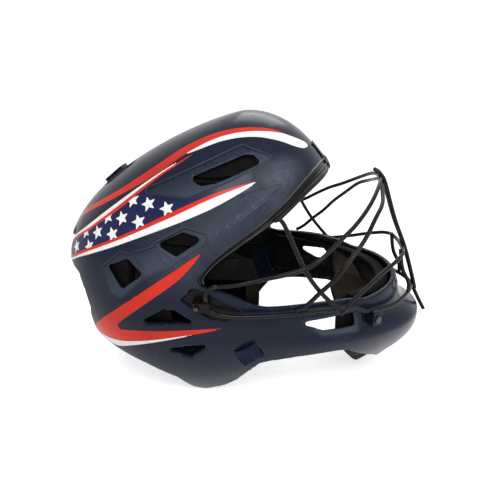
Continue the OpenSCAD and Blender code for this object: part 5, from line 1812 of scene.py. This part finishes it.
PADS = {
    "crown_pad": Pad((-62, 28.5), (-24, 24), PAD_GAP, PAD_THICKNESS, over_top=True, channels=(-0.33, 0.33)),
    "brow_pad": Pad((-42, 42), (46.5, 58.5), PAD_GAP, PAD_THICKNESS * 0.8, channels=(-0.4, 0.4)),
    "side_pad": Pad((80, 128), (19, 46), PAD_GAP, PAD_THICKNESS, mirrored=True, channels=(0.0,)),
    "temple_pad": Pad((58, 122), (49, 62), PAD_GAP, PAD_THICKNESS * 0.7, mirrored=True),
    "nape_pad": Pad((124.5, 149), (-11, 14), PAD_GAP + 0.4, PAD_THICKNESS, mirrored=True),
    "ear_pad": Pad((66, 122.5), (-22, 14), PAD_GAP + 1.2, 17.0, corner=0.16, mirrored=True, cut="ear"),
    "lobe_pad": Pad((89, 118), (-46, -34), PAD_GAP, PAD_THICKNESS * 0.7, mirrored=True),
    "jaw_pad": Pad((29, 62), (-29, -11), PAD_GAP + 0.3, 8.0, corner=0.06, slant=-3, mirrored=True, cut="jaw"),
    "chin_cup": Pad(
        (-28, 28), (-41, -8.5), PAD_GAP + 3, 17.0, corner=0.06, bow=11, cut="floor", panelled=True),
    "back_pad": Pad(
        (180 - PLATE_TURN * 0.88, 180 + PLATE_TURN * 0.88), (PLATE_LOW + 2, PLATE_HIGH - 2),
        PLATE_SINK + PLATE_WALL + SEAT_GAP, PAD_THICKNESS * 0.7, body=PLATE, channels=(0.0,)),
}


def directions(p, q, over_top):
    p, q = np.radians(p), np.radians(q)
    if over_top:
        return np.stack([np.sin(p) * np.cos(q), np.sin(q), np.cos(p) * np.cos(q)], axis=-1)
    return np.stack([np.cos(p) * np.cos(q), np.sin(p) * np.cos(q), np.sin(q)], axis=-1)


def pad_grid(cells):
    """Places over a pad from -1 to 1 each way, closer together near its edges."""
    steps = (np.sin(np.linspace(-1, 1, count + 1) * math.pi / 2) for count in cells)
    return np.meshgrid(*steps, indexing="ij")


def pad_height(pad, u, v):
    """How full a pad is at each point: bound edge, groove beside it, crowned middle and sewn channels."""
    half_u, half_v = (math.radians(abs(span[1] - span[0])) / 2 * PAD_REACH for span in (pad.a, pad.b))
    edge = np.minimum((1 - np.abs(u)) * half_u, (1 - np.abs(v)) * half_v)
    crown = np.sqrt(np.maximum(0, 1 - u ** 4)) * np.sqrt(np.maximum(0, 1 - v ** 4))
    binding = np.sqrt(np.maximum(0, 1 - ((edge - BINDING) / BINDING) ** 2)) * BINDING
    groove = GROOVE * np.exp(-((edge - GROOVE_AT * BINDING) / (GROOVE_WIDTH * BINDING)) ** 2)
    swell = 1 - CROWN_SHARE + CROWN_SHARE * crown + (binding - groove) / pad.thickness
    for at in pad.channels:
        swell = swell - CHANNEL_DEPTH * np.exp(-((u - at) / CHANNEL_WIDTH) ** 2)
    if pad.panelled:
        away = panel_distance(u, v)
        dip = SEAM_DIP * np.exp(-((away - SEAM_DIP_AT) / SEAM_DIP_WIDTH) ** 2)
        seam = np.exp(-(away / SEAM_WIDTH) ** 2) - dip
        swell = swell + SEAM_RISE / pad.thickness * seam
    return swell


def panel_distance(u, v):
    """How far outside the side panels of the chin cup a point lies, as a share of their size."""
    ahead = np.minimum(np.abs(u) - PANEL_MIDDLE, 0) / (PANEL_MIDDLE - PANEL_START)
    size = np.abs(ahead) ** PANEL_POWER + np.abs(v / PANEL_HALF) ** PANEL_POWER
    return size ** (1 / PANEL_POWER) - 1


def pad_faces(pad, cells):
    """Points and faces of a pad: its back against the shell and its crowned front."""
    na, nb = cells
    u, v = pad_grid(cells)
    ru, rv = u * np.sqrt(1 - pad.corner * v * v), v * np.sqrt(1 - pad.corner * u * u)
    p = (pad.a[0] + pad.a[1] + ru * (pad.a[1] - pad.a[0])) / 2
    q = (pad.b[0] + pad.b[1] + rv * (pad.b[1] - pad.b[0])) / 2
    q = q + (pad.slant * u + pad.bow * u * u) * (1 - v) / 2
    way = directions(p, q, pad.over_top).reshape(-1, 3)
    back = cast(way, -pad.gap)
    thick = (pad.thickness * pad_height(pad, u, v)).ravel()
    full = np.linalg.norm(cast(way, -pad.gap - pad.thickness) - HEAD, axis=1)
    out = np.linalg.norm(back - HEAD, axis=1)
    front = HEAD + way * (out + (full - out) * thick / pad.thickness)[:, None]
    m = nb + 1
    base = len(way)
    i, j = np.meshgrid(np.arange(na), np.arange(nb), indexing="ij")
    k = (i * m + j).ravel()
    quads_back = np.stack([k, k + 1, k + m + 1, k + m], axis=1)
    quads_front = np.stack([k, k + m, k + m + 1, k + 1], axis=1) + base
    rim = [i * m for i in range(na)] + [na * m + j for j in range(nb)]
    rim += [i * m + nb for i in range(na, 0, -1)] + list(range(nb, 0, -1))
    side = [[a, b, b + base, a + base] for a, b in zip(rim, rim[1:] + rim[:1])]
    return np.concatenate([back, front]), quads_back.tolist() + quads_front.tolist() + side


def panel_faces(pad, cells, count):
    """Which cover each face of a pad has: 1 on the chin cup's side panels and 0 elsewhere."""
    cover = np.zeros(count, int)
    if pad.panelled:
        na, nb = cells
        away = panel_distance(*((at[1:, 1:] + at[:-1, :-1]) / 2 for at in pad_grid(cells)))
        cover[na * nb:2 * na * nb] = away.ravel() < PANEL_CELLS_IN
    return cover


class HelmetPads(bpy.types.PropertyGroup):
    fill: FloatProperty(
        name="Fill", description="How full the foam pads are", default=0.8, min=0, max=1, subtype="FACTOR")


class HELMET_OT_pads(bpy.types.Operator):
    """Foam pads with sewn channels and bound edges"""
    bl_idname = "helmet.pads"
    bl_label = "Pads"

    def execute(self, context):
        covers = [finish("padding"), finish("chin_cover")]
        for name, pad in PADS.items():
            points, faces = pad_faces(pad, PAD_CELLS)
            cover = panel_faces(pad, PAD_CELLS, len(faces))
            for side, tag in ((1, "_left"), (-1, "_right")) if pad.mirrored else ((1, ""),):
                node = name + tag
                flipped = [f[::-1] for f in faces] if side < 0 else faces
                obj = add_mesh("pad_" + node, points * [1, side, 1], flipped, cover, covers)
                face_outward(obj.data)
                if pad.cut:
                    cut_pad(obj, pad.cut)
                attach(obj, pad.body)
                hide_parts(node)
        return {"FINISHED"}


def cut_pad(obj, kind):
    """Takes the room for the pocket insert, the jaw vent or the ground out of a pad."""
    if kind == "floor":
        at = points_of(obj.data)
        at[:, 2] = np.maximum(at[:, 2], 0)
        obj.data.vertices.foreach_set("co", at.ravel())
        obj.data.update()
        return
    near, outline = 0.0, JAW_PAD_NOTCH
    if kind == "ear":
        near, outline = side_y(APEX + 3, 99.5, -WALL) - sum(EAR_NOTCH_DEPTHS), EAR_PAD_NOTCH
    side = 1 if points_of(obj.data)[:, 1].sum() > 0 else -1
    points = [(APEX + x, side * y, z) for y in (near, CUT_REACH) for x, z in outline]
    n = len(outline)
    faces = [list(range(n)), list(range(2 * n - 1, n - 1, -1))]
    faces += [[i, i + n, (i + 1) % n + n, (i + 1) % n] for i in range(n)]
    tool = add_mesh("cut", points, faces)
    face_outward(tool.data)
    rule = obj.modifiers.new("cut", "BOOLEAN")
    rule.operation, rule.solver, rule.object = "DIFFERENCE", "EXACT", tool
    graph = bpy.context.evaluated_depsgraph_get()
    mesh = bpy.data.meshes.new_from_object(obj.evaluated_get(graph), depsgraph=graph)
    obj.modifiers.clear()
    obj.data = mesh
    bpy.data.objects.remove(tool)


# Back plate and straps

STRAP_WIDTH = 15.0
STRAP_THICKNESS = 1.6
STRAP_FLATNESS = 0.92
LOOP_CLEARANCE = 2.6
ANCHOR_TOP = 6.3
STRAP_PARTS = 6
STRAP_GAP = 2.0
PLATE_CELLS = (40, 30)
# Half of the strap's section, as shares of its half width and half thickness
STRAP_EDGE = [(-1, -0.5), (-0.9, -1), (-0.5, -1.05), (0, -1.08), (0.5, -1.05), (0.9, -1), (1, -0.5)]
STRAP_SECTION = STRAP_EDGE + [(-u, -v) for u, v in STRAP_EDGE]
# Where the crown strap leaves the shell and where it meets the plate, in metres
CROWN_STRAP_ENDS = ((-0.155, 0, 0.160), (-0.155, 0, 0.134))
CROWN_STRAP_HEIGHTS = (162, 150, 140)
SIDE_STRAP_WAY = ((-8.8, 57.5), (-17, 63.5), (-34, 69), (-60, 71.5), (-90, 74.5), (-118, 81))


def strip(stations, width, thickness):
    """A flat strap along stations of a point and the direction of its width."""
    p = np.array([s[0] for s in stations], float)
    way = np.array([s[1] for s in stations], float)
    t = unit(np.gradient(p, axis=0))
    a = unit(way - t * np.sum(way * t, axis=1, keepdims=True)) * width / 2
    b = unit(np.cross(t, a)) * thickness / 2
    rings = np.stack([p + a * u + b * v * STRAP_FLATNESS for u, v in STRAP_SECTION], axis=1)
    n, m = rings.shape[:2]
    along = way_along(p)
    over = np.array(STRAP_SECTION)[None, :, 0] * width / 2
    weave = np.stack(np.broadcast_arrays(over, along[:, None]), axis=2)
    faces = ring_faces(n, m) + [list(range(m))[::-1], [(n - 1) * m + k for k in range(m)]]
    return rings.reshape(-1, 3), faces, weave.reshape(-1, 2)


def add_weave(obj, places):
    """A UV map from one place per point."""
    corner = np.zeros(len(obj.data.loops), np.int32)
    obj.data.loops.foreach_get("vertex_index", corner)
    obj.data.uv_layers.new(name="weave").data.foreach_set("uv", places[corner].ravel())


def stations_along(stations, parts, gap):
    """Stations of a strap drawn out smoothly."""
    p = even(spline([s[0] for s in stations], parts), gap)
    w = spline([s[1] for s in stations], parts)
    return list(zip(p, looked_up(np.linspace(0, 1, len(p)), np.linspace(0, 1, len(w)), w)))


def behind_face(turn, lift, sink):
    """The point below the face in a direction given in degrees from the middle of the head."""
    return cast(directions(np.array([turn]), np.array([lift]), False), -sink)[0]


def on_face(p, grow):
    """The point of the side at a place of the side view."""
    return np.array([APEX + p[0], float(side_y(APEX + p[0], p[1], grow)), p[1]])


def strap_routes():
    """Stations of the crown strap, of a side strap and of a webbing loop, and the loop's width."""
    lining = STRAP_THICKNESS / 2 + SEAT_GAP
    crown = [([float(rear_at(z, -WALL)) + lining + 0.8, 0, z], [0, 1, 0]) for z in CROWN_STRAP_HEIGHTS]
    plate_edge = behind_face(180.0, PLATE_HIGH, PLATE_SINK + PLATE_WALL / 2)
    crown.append((plate_edge + [0, 0, ANCHOR_TOP], [0, 1, 0]))
    plate_side = behind_face(180 - PLATE_TURN, (PLATE_LOW + PLATE_HIGH) / 2 - 2, PLATE_SINK)
    side = []
    for u, z in SIDE_STRAP_WAY:
        grow = -WALL - lining - 0.7
        up = float(side_y(APEX + u, z + 5, grow) - side_y(APEX + u, z - 5, grow))
        side.append((on_face((u, z), grow), [-0.37 if z < 60 else 0.2, up / 10, 1]))
    side.append((plate_side + [4, 14, 0], [0.2, 0.1, 1]))
    side.append((plate_side + [0.5, 2.4, 0], [0.1, 0, 1]))
    a, b = [(np.array(s[0], float) + s[1]) / 2 for s in STRAP_SLOTS]
    along = np.subtract(*STRAP_SLOTS[0]).astype(float)
    across = on_face(a + along / 2, 0) - on_face(a - along / 2, 0)
    out = STRAP_THICKNESS / 2 + 0.9
    over = ((0.0, -WALL - 1), (0.0, -0.3), (0.05, 1.4), (0.2, out + 0.5), (0.5, out + 1.2), (0.8, out + 0.5),
            (0.95, 1.4), (1.0, -0.3), (1.0, -WALL - 4))
    loop = [(on_face(mix(a, b, share), grow), across) for share, grow in over]
    return crown, side, loop, float(np.linalg.norm(along)) - LOOP_CLEARANCE


class HELMET_OT_straps(bpy.types.Operator):
    """Elastic straps of the back plate and the webbing loops on the lobes"""
    bl_idname = "helmet.straps"
    bl_label = "Straps"

    def execute(self, context):
        crown, side, loop, loop_width = strap_routes()
        made = [("crown_strap", crown, STRAP_WIDTH, "black_elastic", 1)]
        for s, tag in ((1, "_left"), (-1, "_right")):
            made.append(("side_strap" + tag, side, STRAP_WIDTH, "black_elastic", s))
            made.append(("strap_loop" + tag, loop, loop_width, "navy_webbing", s))
        for node, route, width, slot, s in made:
            route = [(np.array(p) * [1, s, 1], np.array(w) * [1, s, 1]) for p, w in route]
            stations = stations_along(route, STRAP_PARTS, STRAP_GAP)
            points, faces, weave = strip(stations, width, STRAP_THICKNESS)
            obj = add_mesh("strap_" + node, points, faces, materials=[finish(slot)])
            add_weave(obj, weave * MM)
            face_outward(obj.data)
            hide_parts(node)
            if node == "crown_strap":
                first, last = CROWN_STRAP_ENDS
                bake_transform(obj, HELMET, PLATE, start=Vector(first), end=Vector(last))
            elif node.startswith("side_strap"):
                first, last = np.array(route[0][0]) * MM, np.array(route[-1][0]) * MM
                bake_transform(obj, HELMET, PLATE, start=Vector(first), end=Vector(last))
            else:
                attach(obj, HELMET)
        return {"FINISHED"}


class HELMET_OT_plate(bpy.types.Operator):
    """Back plate that hangs in the opening at the back of the head"""
    bl_idname = "helmet.back_plate"
    bl_label = "Back plate"

    def execute(self, context):
        pad = Pad((180 - PLATE_TURN, 180 + PLATE_TURN), (PLATE_LOW, PLATE_HIGH), PLATE_SINK, PLATE_WALL)
        points, faces = pad_faces(pad, PLATE_CELLS)
        obj = add_mesh("back_plate_shell", points, faces, materials=[finish("navy_plain")])
        face_outward(obj.data)
        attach(obj, PLATE)
        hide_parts("back_plate")
        return {"FINISHED"}


# Stage

FLOOR_HALF = 6.0
SKY_COLOR = (0.92, 0.95, 1.0, 1)
# Name, place, aim, share of the key light's power and width
LAMPS = (
    ("key", (0.1, -1.05, 1.4), (0, 0, 0.13), 1.0, 0.7),
    ("fill", (1.2, -0.8, 0.9), (0, 0, 0.13), 0.35, 0.8),
    ("back", (0.1, 1.3, 1.2), (0, 0, 0.15), 0.5, 0.8),
)
SENSOR_WIDTH = 36.0
LENS = 35.94
LENS_SHIFT = (-0.01, -0.03)
CAMERA_TURN = math.radians(4.5)
CAMERA_LIFT = math.radians(19.5)
CAMERA_GAP = 0.48
CAMERA_AIM = Vector((0, 0, 0.13))


class HelmetStage(bpy.types.PropertyGroup):
    floor_color: FloatVectorProperty(
        name="Floor colour", description="Colour of the floor", default=(0.86, 0.86, 0.86), size=3, min=0,
        max=1, subtype="COLOR")
    sky_light: FloatProperty(
        name="Sky light", description="Strength of the light from all round", default=0.42, min=0, max=2)
    key_power: FloatProperty(
        name="Key light", description="Power of the main light", default=14.0, min=0, max=100, unit="POWER")


class HELMET_OT_stage(bpy.types.Operator):
    """Pale floor, soft studio light and the camera"""
    bl_idname = "helmet.stage"
    bl_label = "Stage"

    def execute(self, context):
        sizes = context.scene.helmet_stage
        scene = context.scene
        scene.view_settings.view_transform = "Standard"
        corners = [(x * FLOOR_HALF, y * FLOOR_HALF, 0) for x, y in ((-1, -1), (1, -1), (1, 1), (-1, 1))]
        mesh = bpy.data.meshes.new("floor")
        mesh.from_pydata(corners, [], [(0, 1, 2, 3)])
        floor = linked("floor", mesh)
        mesh.materials.append(floor_finish(sizes.floor_color))
        world = bpy.data.worlds.new("studio")
        scene.world = world
        world.use_nodes = True
        tree = world.node_tree
        tree.nodes.clear()
        out = tree.nodes.new("ShaderNodeOutputWorld")
        back = tree.nodes.new("ShaderNodeBackground")
        seen = tree.nodes.new("ShaderNodeBackground")
        mixer = tree.nodes.new("ShaderNodeMixShader")
        back.inputs["Color"].default_value = SKY_COLOR
        back.inputs["Strength"].default_value = sizes.sky_light
        seen.inputs["Color"].default_value = (1, 1, 1, 1)
        tree.links.new(white_to_the_camera(Nodes(tree)), mixer.inputs[0])
        tree.links.new(back.outputs[0], mixer.inputs[1])
        tree.links.new(seen.outputs[0], mixer.inputs[2])
        tree.links.new(mixer.outputs[0], out.inputs[0])
        for name, place, aim, share, width in LAMPS:
            lamp = bpy.data.lights.new(name, "AREA")
            lamp.energy, lamp.size = sizes.key_power * share, width
            obj = linked(name, lamp)
            obj.location = place
            obj.rotation_euler = (Vector(aim) - Vector(place)).to_track_quat("-Z", "Y").to_euler()
        lens = bpy.data.cameras.new("camera")
        lens.sensor_width, lens.lens = SENSOR_WIDTH, LENS
        lens.shift_x, lens.shift_y = LENS_SHIFT
        camera = linked("camera", lens)
        level = math.cos(CAMERA_LIFT)
        look = Vector((-math.sin(CAMERA_TURN) * level, math.cos(CAMERA_TURN) * level, -math.sin(CAMERA_LIFT)))
        right = Vector((math.cos(CAMERA_TURN), math.sin(CAMERA_TURN), 0))
        up = right.cross(look)
        place = CAMERA_AIM - look * CAMERA_GAP
        camera.matrix_world = Matrix((
            (right.x, up.x, -look.x, place.x), (right.y, up.y, -look.y, place.y),
            (right.z, up.z, -look.z, place.z), (0, 0, 0, 1)))
        scene.camera = camera
        return {"FINISHED"}


class HELMET_PT_panel(bpy.types.Panel):
    """Pieces of the catcher helmet"""
    bl_idname = "HELMET_PT_panel"
    bl_label = "Catcher Helmet"
    bl_space_type = "VIEW_3D"
    bl_region_type = "UI"
    bl_category = "Helmet"

    def draw(self, context):
        for name, operator in PANEL_ROWS:
            box = self.layout.box()
            box.operator(operator)
            if name:
                group = getattr(context.scene, name)
                for key in type(group).__annotations__:
                    box.prop(group, key)


GROUPS = {
    "helmet_shell": HelmetShell, "helmet_trim": HelmetTrim, "helmet_cage": HelmetCage,
    "helmet_fixings": HelmetFixings, "helmet_pads": HelmetPads, "helmet_stage": HelmetStage,
}
PANEL_ROWS = [
    ("helmet_stage", "helmet.stage"), ("helmet_shell", "helmet.shell"), ("helmet_trim", "helmet.trim"),
    ("helmet_cage", "helmet.cage"), ("helmet_fixings", "helmet.fixings"), ("helmet_pads", "helmet.pads"),
    (None, "helmet.back_plate"), (None, "helmet.straps"),
]
CLASSES = (
    *GROUPS.values(), HELMET_OT_stage, HELMET_OT_shell, HELMET_OT_trim, HELMET_OT_cage, HELMET_OT_fixings,
    HELMET_OT_pads, HELMET_OT_plate, HELMET_OT_straps, HELMET_PT_panel,
)


def register():
    for cls in CLASSES:
        bpy.utils.register_class(cls)
    for name, group in GROUPS.items():
        setattr(bpy.types.Scene, name, PointerProperty(type=group))


def unregister():
    for name in GROUPS:
        delattr(bpy.types.Scene, name)
    for cls in reversed(CLASSES):
        bpy.utils.unregister_class(cls)


def main():
    register()
    for _, operator in PANEL_ROWS:
        group, name = operator.split(".")
        getattr(getattr(bpy.ops, group), name)()


if __name__ == "__main__":
    main()
